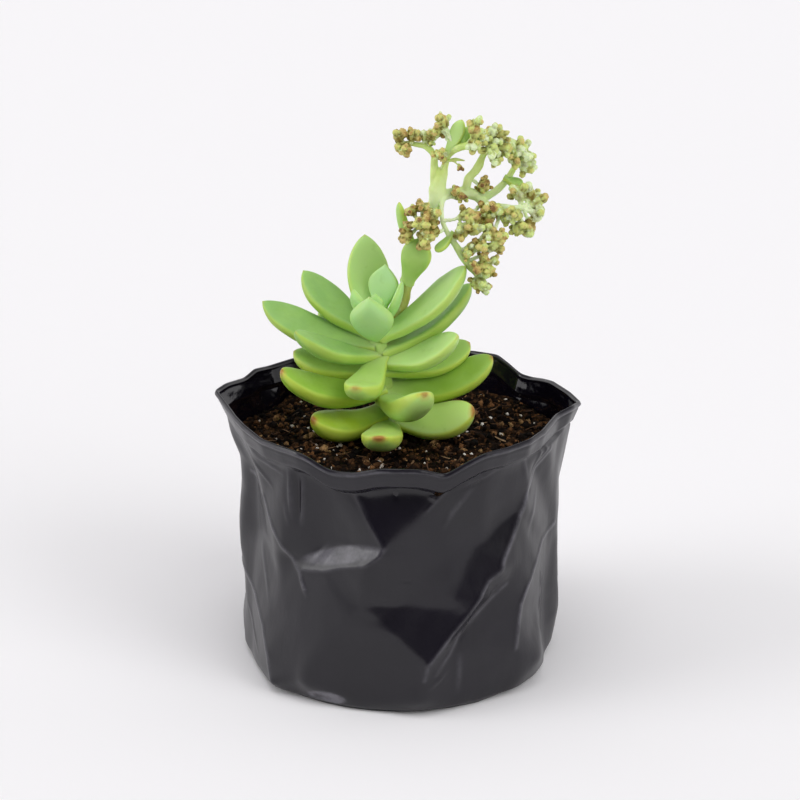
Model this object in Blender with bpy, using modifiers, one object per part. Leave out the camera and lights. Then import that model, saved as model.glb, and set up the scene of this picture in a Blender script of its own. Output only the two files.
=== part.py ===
"""A stonecrop in a film grow bag: the crumpled bag, its soil, a stem with fleshy leaves, and a flower head.

The origin is the middle of the bag's foot, +Z is up and -Y is the front. Lengths below are millimetres,
and MM turns them into metres. A bearing is an angle in degrees about +Z, 0 at the front (-Y) and growing
towards +X.
"""
import math

import bmesh
import bpy
from mathutils import Vector
from mathutils.geometry import delaunay_2d_cdt

MM = 0.001
CLEARANCE = 0.3           # gap kept between pieces that touch

BAG_RADIUS = 50.0
FOOT_ROUND = 3.0          # radius of the turn from the side into the flat foot
SHOULDER_HEIGHT = 66.0    # the mouth flares above this height
RIM_HEIGHT = 84.0
MOUTH_FLARE = 3.5
FILM_THICKNESS = 0.4
HEM_DEPTH = 6.0           # the band of doubled film below the rim
HEM_EASE = 0.7            # the hem's lower edge repeats this share of the rim's waves
HEM_TUCK = 0.3            # and lies this much further in
FOOT_REACH = BAG_RADIUS / 2    # how far from the foot's edge its middle lies once unrolled

SOIL_HEIGHT = 72.0
SOIL_CROWN = 0.5          # the middle lies this much higher than the edge
SOIL_RADIUS = 45.0
SOIL_ROUND = 1.5          # how far its edges are rounded off
SOIL_SIDES = 32
PLANTING_DEPTH = 10.0     # how far the stem goes down into the soil

STEM_RADIUS = 2.3
LEAF_SEAT = 1.7           # how far from the stem's middle a leaf's base starts


def clear_scene():
    for obj in list(bpy.data.objects):
        bpy.data.objects.remove(obj, do_unlink=True)


def new_collection(name):
    collection = bpy.data.collections.new(name)
    bpy.context.scene.collection.children.link(collection)
    return collection


def material(name, colour, roughness):
    finish = bpy.data.materials.new(name)
    finish.use_nodes = True
    shader = finish.node_tree.nodes["Principled BSDF"]
    shader.inputs["Base Color"].default_value = (*colour, 1.0)
    shader.inputs["Roughness"].default_value = roughness
    shader.inputs["Metallic"].default_value = 0.0
    finish.diffuse_color = (*colour, 1.0)
    return finish


clear_scene()
PARTS = new_collection("grow_bag_succulent")
CUTTERS = new_collection("cutters")
FILM = material("black_film", (0.018, 0.018, 0.02), 0.4)
SOIL = material("potting_soil", (0.045, 0.028, 0.018), 0.95)
STEM = material("stem_green", (0.30, 0.38, 0.12), 0.5)
LEAF = material("leaf_green", (0.27, 0.47, 0.12), 0.45)
STALK = material("stalk_green", (0.36, 0.46, 0.14), 0.5)
BUD = material("bud_olive", (0.30, 0.26, 0.08), 0.6)


def outward(bearing):
    """Level unit vector at a bearing."""
    angle = math.radians(bearing)
    return Vector((math.sin(angle), -math.cos(angle), 0.0))


def sideways(bearing):
    """Level unit vector square to the bearing."""
    angle = math.radians(bearing)
    return Vector((math.cos(angle), math.sin(angle), 0.0))


def mesh_object(name, bm, finish, origin=(0, 0, 0)):
    """The bmesh, drawn in millimetres, as an object in metres with its origin moved to a point of its own."""
    bmesh.ops.translate(bm, vec=-Vector(origin), verts=bm.verts)
    bmesh.ops.scale(bm, vec=(MM, MM, MM), verts=bm.verts)
    bmesh.ops.recalc_face_normals(bm, faces=bm.faces)
    mesh = bpy.data.meshes.new(name)
    bm.to_mesh(mesh)
    bm.free()
    mesh.materials.append(finish)
    obj = bpy.data.objects.new(name, mesh)
    obj.location = Vector(origin) * MM
    PARTS.objects.link(obj)
    return obj


def cut_by(piece, cutter):
    cut = piece.modifiers.new("clear_of_" + cutter.name, "BOOLEAN")
    cut.operation = "DIFFERENCE"
    cut.object = cutter


# The bag: one sheet of film, unrolled flat from its foot to its rim, creased, and set round the soil.
# Each fold is a line of (bearing, height, how far out of the plain tube) along one crease. A fold that
# starts at a point of the hem takes the hem's place there.

RIM = (
    (-92, 86, 3.7), (-81, 85, 0.5), (-73, 84.5, -0.3), (-64, 84, -0.5), (-52, 83, -0.3),
    (-43, 83.2, -0.3), (-35, 83.3, 0.2), (-31, 82.3, 0.0), (-26, 79.3, -0.8), (-22, 78.5, -1.0),
    (-15, 79, -0.5), (-7, 81.2, 0.0), (0, 81.2, 0.0), (7, 80.8, -0.2), (15, 78.2, -0.8),
    (18, 79.7, -0.6), (22, 81.9, -0.2), (28, 84.4, 0.4), (36, 84.4, 0.4), (46, 84.8, 0.4),
    (56, 84.6, -1.5), (67, 84.6, -3.2), (73, 84.5, -3.2), (79, 85.5, 0.2), (88, 83.8, 2.6),
    (98, 83.5, 0.6), (106, 83, -0.3), (113, 82.5, -0.2), (120, 81.2, 0.4), (127, 79.7, 1.2),
    (133, 79.4, 1.2), (138, 82, 0.0), (143, 84, -0.5), (153, 83.6, -0.4), (162, 82.6, 0.4),
    (172, 82.4, 0.8), (-178, 82, 0.6), (-168, 82.6, 0.0), (-158, 83.4, -0.4), (-148, 83.6, -0.2),
    (-138, 83.4, 0.0), (-127, 83.6, 0.0), (-119, 84.8, -0.3), (-111, 84.2, -0.4), (-99, 86, 1.5),
)

FRONT_FOLDS = (
    # the long ridge that runs down from the left corner of the mouth, and the crease behind it
    ((-82, 74, 1.5), (-75, 67, 1.6), (-63, 60, 1.2), (-53, 53, 1.2), (-45, 45, 1.0), (-36, 37, 0.3)),
    ((-84, 68, 0.0), (-80, 56, 0.6), (-68, 50, -1.2), (-58, 47, -1.2), (-51, 41, -0.4)),
    # the left flank and its low ridge
    ((-92, 64, -0.5), (-90, 50, 0.6), (-84, 38, 0.8), (-74, 29, 1.0), (-68, 21, 1.2), (-60, 14, 0.4),
     (-53, 8, 0.0)),
    ((-50, 34, 0.3), (-48, 26, 0.6), (-42, 22, 0.5), (-37, 17, 0.4), (-38, 7, 0.0)),
    # the ledge: a dent whose floor slopes up and faces the light
    ((-41, 46, -1.4), (-31, 51, -3.2), (-23, 55, -3.8), (-14, 54, -3.8), (-6, 54, -3.6)),
    ((-39, 42.5, 0.0), (-33, 43, 1.0), (-26, 45, 1.4), (-19, 48, 0.9), (-12, 48.5, 0.2), (-6, 54, -3.6)),
    ((-31, 51, -3.2), (-33, 43, 1.0)),
    ((-23, 55, -3.8), (-26, 45, 1.4)),
    # a short pleat above the ledge
    ((-43, 77.2, 0.0), (-42, 68, 0.5), (-38, 60, -0.8)),
    ((-35, 74, -0.6), (-35, 66, -1.2), (-38, 60, -0.8)),
    # two ridges fall from the hem to the deep dimple, with a dark hollow between them
    ((-22, 72.5, 0.0), (-18, 69, 0.6), (-12, 63, 0.0), (-6, 54, -3.6)),
    ((15, 72.2, 0.0), (11, 67, 0.2), (4, 61, -0.8), (-6, 54, -3.6)),
    ((-3, 71, -0.6), (-2, 63, -2.0), (-6, 54, -3.6)),
    # the fold from the dimple down to the dark triangle
    ((-6, 54, -3.6), (-12, 48.5, 0.2), (-14, 38, 0.3), (-12, 33, 0.0)),
    ((-13, 36, 0.4), (-5, 36.5, 1.3), (6, 36.5, 1.5), (16, 36.5, 1.0), (23, 38, -0.4), (28, 39, -0.6),
     (38, 42, 0.6)),
    ((-12, 33, 0.0), (-4, 29, -0.8), (3, 22, -1.0), (9, 15, -0.4)),
    ((38, 42, 0.6), (31, 36, 0.6), (23, 26, 1.0), (12, 15, 1.0), (7, 9, 0.4)),
    ((17, 16, -0.3), (12, 8, -0.2)),
    # the dark valley on the right, between the middle panel and the long bright ridge
    ((49, 62, -1.0), (37, 60, -2.0), (28, 51, -2.2), (22, 44, -1.8), (20, 39.5, -1.0)),
    ((82, 76, 0.8), (72, 71, 1.0), (58, 65, 1.4), (52, 60, 1.8), (45, 51, 2.2), (38, 42, 0.6)),
    ((33, 50, -1.2), (28, 39, -0.6)),
    # the pleat that hangs from the mouth to that ridge
    ((46, 78.8, 0.0), (49, 70, 0.8), (52, 60, 1.8)),
    ((56, 78.6, 0.0), (55, 69, -0.6), (52, 60, 1.8)),
    # the right flank: a second bright ridge, and the hollows on each side of it
    ((88, 58, 0.0), (80, 46, 0.6), (68, 38, 1.0), (58, 34, 1.2), (52, 28, 1.8), (47, 20, 1.6),
     (44, 13, 0.2)),
    ((38, 42, 0.6), (48, 36, -0.4), (52, 28, 1.8)),
    ((66, 60, -1.2), (60, 49, -1.4), (56, 40, -0.6)),
    ((44, 13, 0.2), (54, 9, 0.3), (63, 8, 0.0)),
    ((66, 29, -1.0), (60, 18, -0.6)),
    # the quiet left-hand panel and the small bright facet at the foot
    ((-12, 33, 0.0), (-26, 26, 0.4), (-30, 18, 0.7), (-34, 11, 0.4)),
    ((-35, 4, -0.2), (-28, 7, -0.9), (-22, 7, -0.9), (-17, 4, -0.2)),
)

BACK_FOLDS = (
    ((92, 72, 0.6), (97, 62, 1.4), (104, 52, 1.6), (110, 43, 0.6), (121, 36, -0.8)),
    ((92, 44, -0.8), (100, 34, 0.8), (106, 24, 1.4), (112, 14, 0.8), (114, 7, 0.0)),
    ((84, 26, 0.4), (88, 15, 0.8), (92, 7, 0.0)),
    ((110, 74, -0.6), (118, 66, -1.6), (128, 58, -2.4), (140, 54, -2.0), (150, 57, -0.8)),
    ((121, 36, -0.8), (128, 47, 1.2), (140, 44, 1.4), (152, 46, 0.6), (150, 57, -0.8)),
    ((133, 73.4, 0.0), (138, 66, 0.6), (150, 57, -0.8), (158, 46, -1.6), (162, 36, 0.8)),
    ((121, 36, -0.8), (130, 27, 0.8), (138, 17, 1.0), (142, 8, 0.0)),
    ((146, 33, -1.2), (150, 22, -0.8), (157, 12, 0.2)),
    ((165, 76, 0.2), (170, 67, 1.2), (176, 58, 1.4), (-177, 48, 0.6), (-174, 38, -1.4)),
    ((162, 36, 0.8), (170, 30, 1.2), (178, 24, 1.2), (-172, 15, 0.6), (-168, 7, 0.0)),
    ((-170, 75, -0.8), (-165, 64, -1.8), (-158, 55, -2.4), (-148, 50, -1.6)),
    ((-174, 38, -1.4), (-164, 42, 1.0), (-155, 41, 1.4), (-148, 50, -1.6)),
    ((-150, 76, 0.4), (-145, 68, 1.0), (-137, 61, 1.2), (-128, 52, 1.4), (-122, 42, 0.4)),
    ((-155, 41, 1.4), (-150, 30, 0.6), (-147, 18, 0.8), (-150, 8, 0.0)),
    ((-140, 36, -1.4), (-134, 26, -1.0), (-130, 15, 0.2)),
    ((-130, 77, -0.6), (-122, 69, -1.4), (-114, 60, -2.0), (-106, 51, -1.4)),
    ((-122, 42, 0.4), (-112, 40, 1.2), (-106, 51, -1.4)),
    ((-122, 42, 0.4), (-117, 30, 1.2), (-112, 19, 1.2), (-108, 8, 0.2)),
    ((-104, 76, 0.8), (-100, 66, 1.4), (-98, 56, 0.6)),
    ((-100, 34, -1.0), (-96, 24, -0.6), (-92, 12, 0.4)),
    ((-80, 16, -0.6), (-74, 8, 0.0)),
)

FOOT_BEARINGS = range(-180, 180, 10)
RIGHT_FOOT = (30, 110)    # the stretch where the foot's corner is pushed in and rounder
RIGHT_FOOT_PUSH = 1.8


def plain_radius(height):
    """Radius of the filled bag before it was creased: rounded foot, straight side, flared mouth."""
    radius = BAG_RADIUS
    if height < FOOT_ROUND:
        drop = FOOT_ROUND - height
        radius -= FOOT_ROUND - math.sqrt(FOOT_ROUND ** 2 - drop ** 2)
    if height > SHOULDER_HEIGHT:
        climb = (height - SHOULDER_HEIGHT) / (RIM_HEIGHT - SHOULDER_HEIGHT)
        radius += MOUTH_FLARE * climb ** 1.3
    return radius


def foot_ring(height):
    """Points round the foot, with the right-hand corner drawn in."""
    points = []
    for bearing in FOOT_BEARINGS:
        share = (bearing - RIGHT_FOOT[0]) / (RIGHT_FOOT[1] - RIGHT_FOOT[0])
        push = RIGHT_FOOT_PUSH * math.sin(math.pi * min(max(share, 0.0), 1.0))
        points.append((bearing, height, -push))
    return points


def hem_line():
    """The lower edge of the hem, where the turned-in film ends."""
    return [(bearing, height - HEM_DEPTH, HEM_EASE * out - HEM_TUCK) for bearing, height, out in RIM]


def grow_bag():
    """The film is triangulated in its unrolled state, with every crease kept as an edge."""
    unrolled = []
    placed = []
    edges = []
    index_of = {}

    def add(point):
        bearing, height, out = point
        spot = (bearing, height)
        if spot not in index_of:
            index_of[spot] = len(placed)
            turn = math.radians(bearing)
            reach = height + FOOT_REACH
            unrolled.append(Vector((reach * math.sin(turn), -reach * math.cos(turn))))
            radius = plain_radius(height) + out if height >= 0 else 0.0
            placed.append(outward(bearing) * radius + Vector((0, 0, max(height, 0.0))))
        return index_of[spot]

    def crease(points, closed=False):
        chain = [add(point) for point in points]
        pairs = list(zip(chain, chain[1:]))
        if closed:
            pairs.append((chain[-1], chain[0]))
        edges.extend(pairs)
        return chain

    rim = crease(RIM, closed=True)
    crease(hem_line(), closed=True)
    add((0, -FOOT_REACH, 0.0))    # the middle of the foot
    crease(foot_ring(0.0), closed=True)
    crease(foot_ring(FOOT_ROUND), closed=True)
    for fold in FRONT_FOLDS + BACK_FOLDS:
        crease(fold)

    verts, _, faces, origins, _, _ = delaunay_2d_cdt(unrolled, edges, [rim], 1, 1e-4)
    bm = bmesh.new()
    corners = []
    for flat, sources in zip(verts, origins):
        if sources:
            corners.append(bm.verts.new(placed[sources[0]]))
        else:
            raise ValueError("two creases cross at %s" % flat)
    for face in faces:
        bm.faces.new([corners[index] for index in face])
    bag = mesh_object("grow_bag", bm, FILM)
    wall = bag.modifiers.new("film", "SOLIDIFY")
    wall.thickness = FILM_THICKNESS * MM
    wall.offset = -1.0
    return bag


# The root ball: a plain drum of soil with a low crown, bored for the stem.

def potting_soil():
    bm = bmesh.new()
    bottom = FILM_THICKNESS + CLEARANCE
    profile = (
        (SOIL_RADIUS - SOIL_ROUND, bottom), (SOIL_RADIUS, bottom + 2 * SOIL_ROUND),
        (SOIL_RADIUS, SOIL_HEIGHT - SOIL_ROUND), (SOIL_RADIUS - SOIL_ROUND, SOIL_HEIGHT),
        (SOIL_RADIUS / 2, SOIL_HEIGHT + SOIL_CROWN),
    )
    rings = []
    for radius, height in profile:
        ring = [outward(360 * side / SOIL_SIDES) * radius + Vector((0, 0, height))
                for side in range(SOIL_SIDES)]
        rings.append([bm.verts.new(corner) for corner in ring])
    for lower, upper in zip(rings, rings[1:]):
        for side in range(SOIL_SIDES):
            after = (side + 1) % SOIL_SIDES
            bm.faces.new((lower[side], lower[after], upper[after], upper[side]))
    bm.faces.new(rings[0])
    bm.faces.new(rings[-1])
    return mesh_object("potting_soil", bm, SOIL)


# Stems and stalks: smooth tubes that taper from point to point.

def tube(name, points, radii, finish, collection=PARTS, spare=0.0):
    """A tapering tube through the points, made a mesh so that it can be cut and can cut."""
    origin = Vector(points[0])
    curve = bpy.data.curves.new(name, "CURVE")
    curve.dimensions = "3D"
    curve.bevel_depth = MM
    curve.bevel_resolution = 2
    curve.use_fill_caps = True
    curve.resolution_u = 3
    spline = curve.splines.new("BEZIER")
    spline.bezier_points.add(len(points) - 1)
    for knot, point, radius in zip(spline.bezier_points, points, radii):
        knot.co = (Vector(point) - origin) * MM
        knot.radius = radius + spare
        knot.handle_left_type = "AUTO"
        knot.handle_right_type = "AUTO"
    drawn = bpy.data.objects.new(name + "_line", curve)
    drawn.location = origin * MM
    bpy.context.scene.collection.objects.link(drawn)
    bpy.context.view_layer.update()
    mesh = bpy.data.meshes.new_from_object(drawn.evaluated_get(bpy.context.evaluated_depsgraph_get()))
    placement = drawn.matrix_world.copy()
    bpy.data.objects.remove(drawn)
    bm = bmesh.new()
    bm.from_mesh(mesh)
    bmesh.ops.remove_doubles(bm, verts=bm.verts, dist=1e-6)
    bmesh.ops.recalc_face_normals(bm, faces=bm.faces)
    bm.to_mesh(mesh)
    bm.free()
    mesh.name = name
    mesh.materials.clear()
    mesh.materials.append(finish)
    obj = bpy.data.objects.new(name, mesh)
    obj.matrix_world = placement
    collection.objects.link(obj)
    return obj


def cutter_tube(name, points, radii):
    """The same tube, fatter and longer by the clearance, kept only to cut its neighbours."""
    line = [Vector(point) for point in points]
    line[0] += (line[0] - line[1]).normalized() * CLEARANCE
    line[-1] += (line[-1] - line[-2]).normalized() * CLEARANCE
    cutter = tube(name + "_clearance", line, radii, STALK, CUTTERS, CLEARANCE)
    cutter.hide_render = True
    cutter.display_type = "WIRE"
    return cutter


STEM_LINE = (
    (-3.5, 2.0, SOIL_HEIGHT - PLANTING_DEPTH), (-3.5, 2.0, 76), (-5.0, 2.0, 87),
    (-6.5, 2.2, 98), (-7.0, 3.0, 107), (-7.0, 3.2, 113),
)
STEM_RADII = (2.2, 2.5, 2.4, STEM_RADIUS, 2.0, 1.3)


def stem_point(height):
    """The middle of the stem at a height."""
    for low, high in zip(STEM_LINE, STEM_LINE[1:]):
        if height <= high[2]:
            share = (height - low[2]) / (high[2] - low[2])
            return Vector(low).lerp(Vector(high), share)
    return Vector(STEM_LINE[-1])


# Leaves and bracts: one loft. The blade is flat above and keeled below, and it curls up to its point.

SECTION = (       # (across, through) round the blade, in half widths and in thicknesses
    (-1.0, 0.0), (-0.6, 0.14), (0.0, 0.18), (0.6, 0.14),
    (1.0, 0.0), (0.64, -0.48), (0.0, -0.82), (-0.64, -0.48),
)
STATIONS = (      # (share of the length, share of the width, share of the thickness)
    (0.0, 0.28, 0.42), (0.12, 0.38, 0.52), (0.3, 0.68, 0.82), (0.5, 0.94, 1.0),
    (0.7, 1.0, 0.96), (0.86, 0.78, 0.76), (0.955, 0.42, 0.42),
)


def blade(name, base, tip, side, width, thickness, sag, finish):
    """A fleshy leaf from base to tip. Its spine dips by sag below the straight line between them."""
    base = Vector(base)
    tip = Vector(tip)
    middle = base.lerp(tip, 0.5) - Vector((0, 0, 2 * sag))

    def spine(share):
        return base.lerp(middle, share).lerp(middle.lerp(tip, share), share)

    def heading(share):
        return ((middle - base) * (1 - share) + (tip - middle) * share).normalized()

    bm = bmesh.new()
    rings = []
    for share, wide, thick in STATIONS:
        across = (side - heading(share) * side.dot(heading(share))).normalized()
        through = heading(share).cross(across)
        centre = spine(share)
        ring = [centre + across * a * wide * width / 2 + through * t * thick * thickness
                for a, t in SECTION]
        rings.append([bm.verts.new(corner) for corner in ring])
    count = len(SECTION)
    for lower, upper in zip(rings, rings[1:]):
        for corner in range(count):
            after = (corner + 1) % count
            bm.faces.new((lower[corner], lower[after], upper[after], upper[corner]))
    point = bm.verts.new(tip)
    for corner in range(count):
        bm.faces.new((rings[-1][corner], rings[-1][(corner + 1) % count], point))
    bm.faces.new(rings[0])
    return mesh_object(name, bm, finish, base)


# Each leaf: name, height of its base on the stem, bearing, reach and rise of its tip, width,
# thickness, sag of its spine, and the roll of its blade in degrees.
LEAVES = (
    ("leaf_low_1", 76.1, -5, 34.5, 7.5, 12.5, 6.2, 1.3, 0),
    ("leaf_low_2", 79.4, 66, 29.0, 4.9, 13.0, 7.0, 3.2, 40),
    ("leaf_low_3", 80.0, -57, 27.0, 2.4, 11.8, 7.6, 2.7, -18),
    ("leaf_low_4", 79.5, 172, 27.0, 6.0, 11.0, 6.0, 2.0, 0),
    ("leaf_mid_1", 85.0, 25, 28.5, 9.8, 12.5, 7.6, 3.0, 0),
    ("leaf_mid_2", 88.0, -63, 34.7, 10.4, 13, 7.0, 3.6, -20),
    ("leaf_mid_3", 86.8, 94, 33.6, 10.0, 12.6, 6.4, 3.8, 29),
    ("leaf_mid_4", 93.4, -101, 27.8, 4.0, 12.5, 6, 1.6, -12),
    ("leaf_mid_5", 97.1, -17, 24.2, -1.6, 11.5, 6.5, 2.6, 0),
    ("leaf_mid_6", 94.0, 106, 28.8, 5.4, 12.3, 5.2, 2.2, 24),
    ("leaf_mid_7", 84.6, 164, 29, 9, 11, 5.6, 2.0, 0),
    ("leaf_mid_8", 88.9, -156, 29, 9, 11, 5.8, 2.0, 0),
    ("leaf_top_1", 96.7, 67, 26.0, 11.3, 12.4, 5.7, 2.2, 29),
    ("leaf_top_2", 98.9, -61, 28.8, 11.4, 12.0, 5.6, 2.0, -14),
    ("leaf_top_3", 96.8, -134, 26.0, 11.0, 11.0, 5.5, 2.0, 0),
    ("leaf_top_4", 91.6, 162, 26.5, 10.0, 11.5, 5.5, 2.0, 0),
    ("leaf_top_5", 101.8, -101, 36.6, 11.3, 12.5, 5.5, 3, -24),
    ("leaf_top_6", 105.0, -124, 28.2, 15.3, 12.2, 5.3, 2.0, -12),
    ("leaf_top_7", 105, 80.5, 27.2, 23.0, 13.0, 5.2, 2.4, 33),
    ("leaf_top_8", 99.5, 102, 29.0, 19.8, 12.5, 5.5, 2.5, 8),
    ("leaf_top_9", 107.0, -165, 15.5, 25.2, 13.5, 5.5, 3.0, 0),
    ("leaf_top_10", 99, -169, 25, 17, 12.0, 5.5, 2.5, 0),
    ("leaf_heart_1", 106.0, -10, 14.0, 15.2, 13.5, 5.5, 3.0, 0),
    ("leaf_heart_2", 109.0, -58, 8.4, 11.6, 7.5, 3.4, 1.5, 0),
    ("leaf_heart_3", 111.0, 150, 4.8, 15.0, 10.6, 3.4, 1.0, 0),
    ("leaf_heart_4", 109.0, 75, 7.8, 13.4, 7.0, 2.7, 1.5, 0),
    ("leaf_heart_5", 111.5, -10, 3.6, 7.5, 5.0, 2.4, 0.6, 0),
)

# Bracts: name, base, tip, bearing that the blade's back faces, width, thickness, sag.
BRACTS = (
    ("bract_clasping", (2.6, 3.2, 122.5), (6.5, -1.0, 136.5), -20, 9.5, 3.6, 0.5),
    ("bract_slim", (4.6, 5.0, 132.0), (-0.4, 4.0, 146.6), -70, 4.6, 3.0, 0.2),
    ("bract_top", (14.6, 4.4, 162.8), (18.6, 3.0, 172.6), -30, 4.6, 2.8, 0.3),
    ("bract_top_right", (18.6, 4.0, 164.4), (20.8, 5.2, 170.0), 30, 3.8, 2.6, 0.2),
    ("bract_outer", (33.0, 9.4, 152.8), (37.6, 8.0, 151.4), 20, 4.2, 2.6, 0.2),
    ("bract_inner", (15.6, 0.2, 137.4), (10.6, -2.6, 133.4), -40, 3.4, 2.4, 0.6),
)

FLOWER_STALK = (
    (-5.6, 3.6, 101.5), (-3.4, 6.6, 105.2), (-1.2, 7.8, 109.2), (1.2, 7.6, 114.2), (2.6, 6.6, 121.2),
    (5.4, 6.0, 130.5),
    (8.6, 6.0, 138.0), (11.0, 6.0, 144.2), (11.6, 6.0, 150.5), (12.3, 6.0, 157.0),
)
FLOWER_STALK_RADII = (1.7, 1.7, 1.8, 1.8, 1.8, 1.8, 1.7, 1.7, 1.6, 1.4)

# Branches: name, its points from the middle of the stalk that it forks from outwards, its radii.
BRANCHES = (
    ("branch_top_left",
     ((12.3, 6, 156.0), (10.4, 6.8, 160.2), (8.2, 7.6, 163.0), (5.4, 8.0, 163.6), (2.4, 8.0, 164.2)),
     (1.2, 1.1, 1.0, 0.8, 0.6)),
    ("branch_top_right",
     ((12.3, 6, 156.0), (14.0, 5.8, 159.0), (15.2, 5.0, 162.0), (17.6, 3.6, 163.8), (20.6, 2.0, 165.0),
      (22.0, 0.8, 168.0)),
     (1.2, 1.1, 1.2, 1.3, 1.1, 0.8)),
    ("branch_right",
     ((11.2, 6.0, 146.5), (15.8, 7.0, 148.6), (20.8, 8.0, 148.5), (25.0, 9.0, 147.0), (28.4, 10.0, 147.8),
      (33.0, 10.5, 152.4), (35.6, 9.6, 157.6)),
     (1.6, 1.6, 1.7, 1.5, 1.2, 1.1, 0.8)),
    ("branch_rising",
     ((19.8, 7.8, 148.6), (21.0, 7.0, 153.2), (23.6, 6.0, 157.0), (25.4, 5.0, 161.4), (27.6, 4.4, 164.4)),
     (1.2, 1.2, 1.2, 1.0, 0.8)),
    ("branch_outer",
     ((22.4, 8.4, 148.0), (26.0, 6.6, 145.6), (29.8, 5.4, 144.6), (33.6, 4.4, 144.6), (37.6, 3.6, 144.8)),
     (1.3, 1.3, 1.2, 1.1, 0.9)),
    ("branch_drooping",
     ((11.0, 6.0, 145.0), (12.8, 2.6, 143.8), (14.0, 1.0, 140.2), (16.0, 0.2, 136.4), (18.6, 0.0, 132.0),
      (21.4, 0.0, 128.0), (23.8, -0.4, 124.6)),
     (0.8, 0.7, 0.7, 0.9, 1.2, 1.4, 1.0)),
    ("branch_left",
     ((8.0, 6.0, 136.6), (7.2, 3.4, 138.8), (6.6, 0.8, 141.0)),
     (1.0, 0.9, 0.8)),
)

# Bud clusters: name and the (x, y, z, radius) of the swellings that its outline is stretched over.
BUD_CLUSTERS = (
    ("buds_top_left", ((-0.3, 8, 165.4, 1.6), (0.3, 8, 163.2, 1.8), (1.8, 7, 163.1, 1.6),
                       (3.6, 8, 166.0, 1.6))),
    ("buds_top_middle", ((7.4, 7.6, 166.2, 1.4), (9.7, 7.6, 166.4, 1.6), (11.3, 6.2, 167.9, 1.6),
                         (9.4, 7.6, 164.4, 1.2))),
    ("buds_top", ((12.4, 5, 173.0, 0.9), (13.3, 4.4, 171.2, 1.7), (12.2, 5.2, 169.9, 1.0))),
    ("buds_top_right", ((22.5, 0, 171.5, 1.7), (22.7, 0, 169.0, 1.8), (22.2, 0.4, 166.0, 1.9))),
    ("buds_crown", ((26.2, 4, 167.0, 1.8), (28.0, 4, 168.3, 1.7), (29.9, 4, 167.2, 1.9),
                    (27.5, 2.6, 163.8, 2.2), (30.9, 5, 163.3, 2.0), (28.6, 3.4, 160.4, 1.6))),
    ("buds_outer", ((34.6, 8, 162.8, 1.9), (37.0, 8, 161.8, 2.0), (38.2, 8.4, 159.4, 1.9),
                    (38.1, 9, 156.7, 2.0), (34.6, 7.4, 159.1, 1.8))),
    ("buds_inner", ((25.0, 7.4, 151.6, 1.3), (26.0, 7.4, 150.2, 1.4), (24.6, 8.2, 149.4, 1.0))),
    ("buds_fork", ((11.8, 3.8, 161.4, 1.3), (13.0, 3.8, 162.0, 1.3), (13.4, 4.6, 160.0, 0.9))),
    ("buds_elbow", ((16.6, 4.6, 149.4, 1.3), (18.6, 4.8, 148.3, 1.4), (17.4, 5.6, 147.8, 1.0))),
    ("buds_left", ((3.9, 0.6, 144.4, 1.3), (6.4, 0, 146.3, 1.5), (9.7, 0.6, 143.7, 2.0),
                   (2.4, -2, 138.2, 1.8), (6.0, -3, 142.0, 2.0), (7.3, -3.6, 137.6, 1.9),
                   (10.4, -1, 138.4, 1.6))),
    ("buds_right_low", ((26.2, 3.4, 144.0, 1.7), (27.4, 3.4, 142.0, 1.8), (29.5, 2.6, 145.0, 1.8),
                        (32.0, 3.2, 142.6, 1.7))),
    ("buds_right", ((36.4, 5, 148.5, 2.0), (39.6, 6, 147.9, 2.0), (41.3, 5, 146.0, 2.0),
                    (41.2, 3, 142.9, 2.0), (39.4, 1.4, 140.4, 2.0), (36.4, 1.4, 139.6, 2.0),
                    (35.6, 0.8, 143.7, 1.9))),
    ("buds_curve_upper", ((19.6, 0.6, 143.4, 1.8), (21.6, 0.6, 143.8, 1.7), (22.0, -1, 139.6, 2.2),
                          (18.8, -0.6, 138.2, 1.8), (17.0, -0.4, 137.4, 1.2))),
    ("buds_curve_middle", ((26.4, -2, 138.0, 1.8), (29.2, -2.6, 138.0, 1.8), (24.6, -2, 134.2, 1.7),
                           (28.5, -2.6, 134.6, 1.8), (21.2, -1, 133.6, 1.4))),
    ("buds_curve_low", ((28.2, -2, 129.8, 1.2), (24.8, -2, 127.4, 2.0), (27.2, -2, 126.0, 1.4),
                        (24.7, -2, 122.8, 1.9), (22.8, -1.4, 123.0, 1.2), (25.4, -2, 130.6, 1.4))),
)


def leaf(name, height, bearing, reach, rise, width, thickness, sag, roll):
    root = stem_point(height)
    base = root + outward(bearing) * LEAF_SEAT
    tip = root + outward(bearing) * reach + Vector((0, 0, rise))
    tilt = math.radians(roll)
    side = sideways(bearing) * math.cos(tilt) + Vector((0, 0, math.sin(tilt)))
    return blade(name, base, tip, side, width, thickness, sag, LEAF)


def bud_cluster(name, swellings):
    """A closed outline stretched over the buds' ends."""
    bm = bmesh.new()
    for x, y, z, radius in swellings:
        ball = bmesh.ops.create_icosphere(bm, subdivisions=1, radius=radius)
        bmesh.ops.translate(bm, vec=(x, y, z), verts=ball["verts"])
    hull = bmesh.ops.convex_hull(bm, input=bm.verts)
    spare = [item for item in hull["geom_interior"] if isinstance(item, bmesh.types.BMVert)]
    bmesh.ops.delete(bm, geom=spare, context="VERTS")
    inner = [face for face in bm.faces if face not in set(hull["geom"])]
    bmesh.ops.delete(bm, geom=inner, context="FACES_ONLY")
    return mesh_object(name, bm, BUD, swellings[0][:3])


grow_bag()
soil = potting_soil()
stem = tube("stem", STEM_LINE, STEM_RADII, STEM)
around_stem = cutter_tube("stem", STEM_LINE, STEM_RADII)
cut_by(soil, around_stem)

for entry in LEAVES:
    cut_by(leaf(*entry), around_stem)

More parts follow.
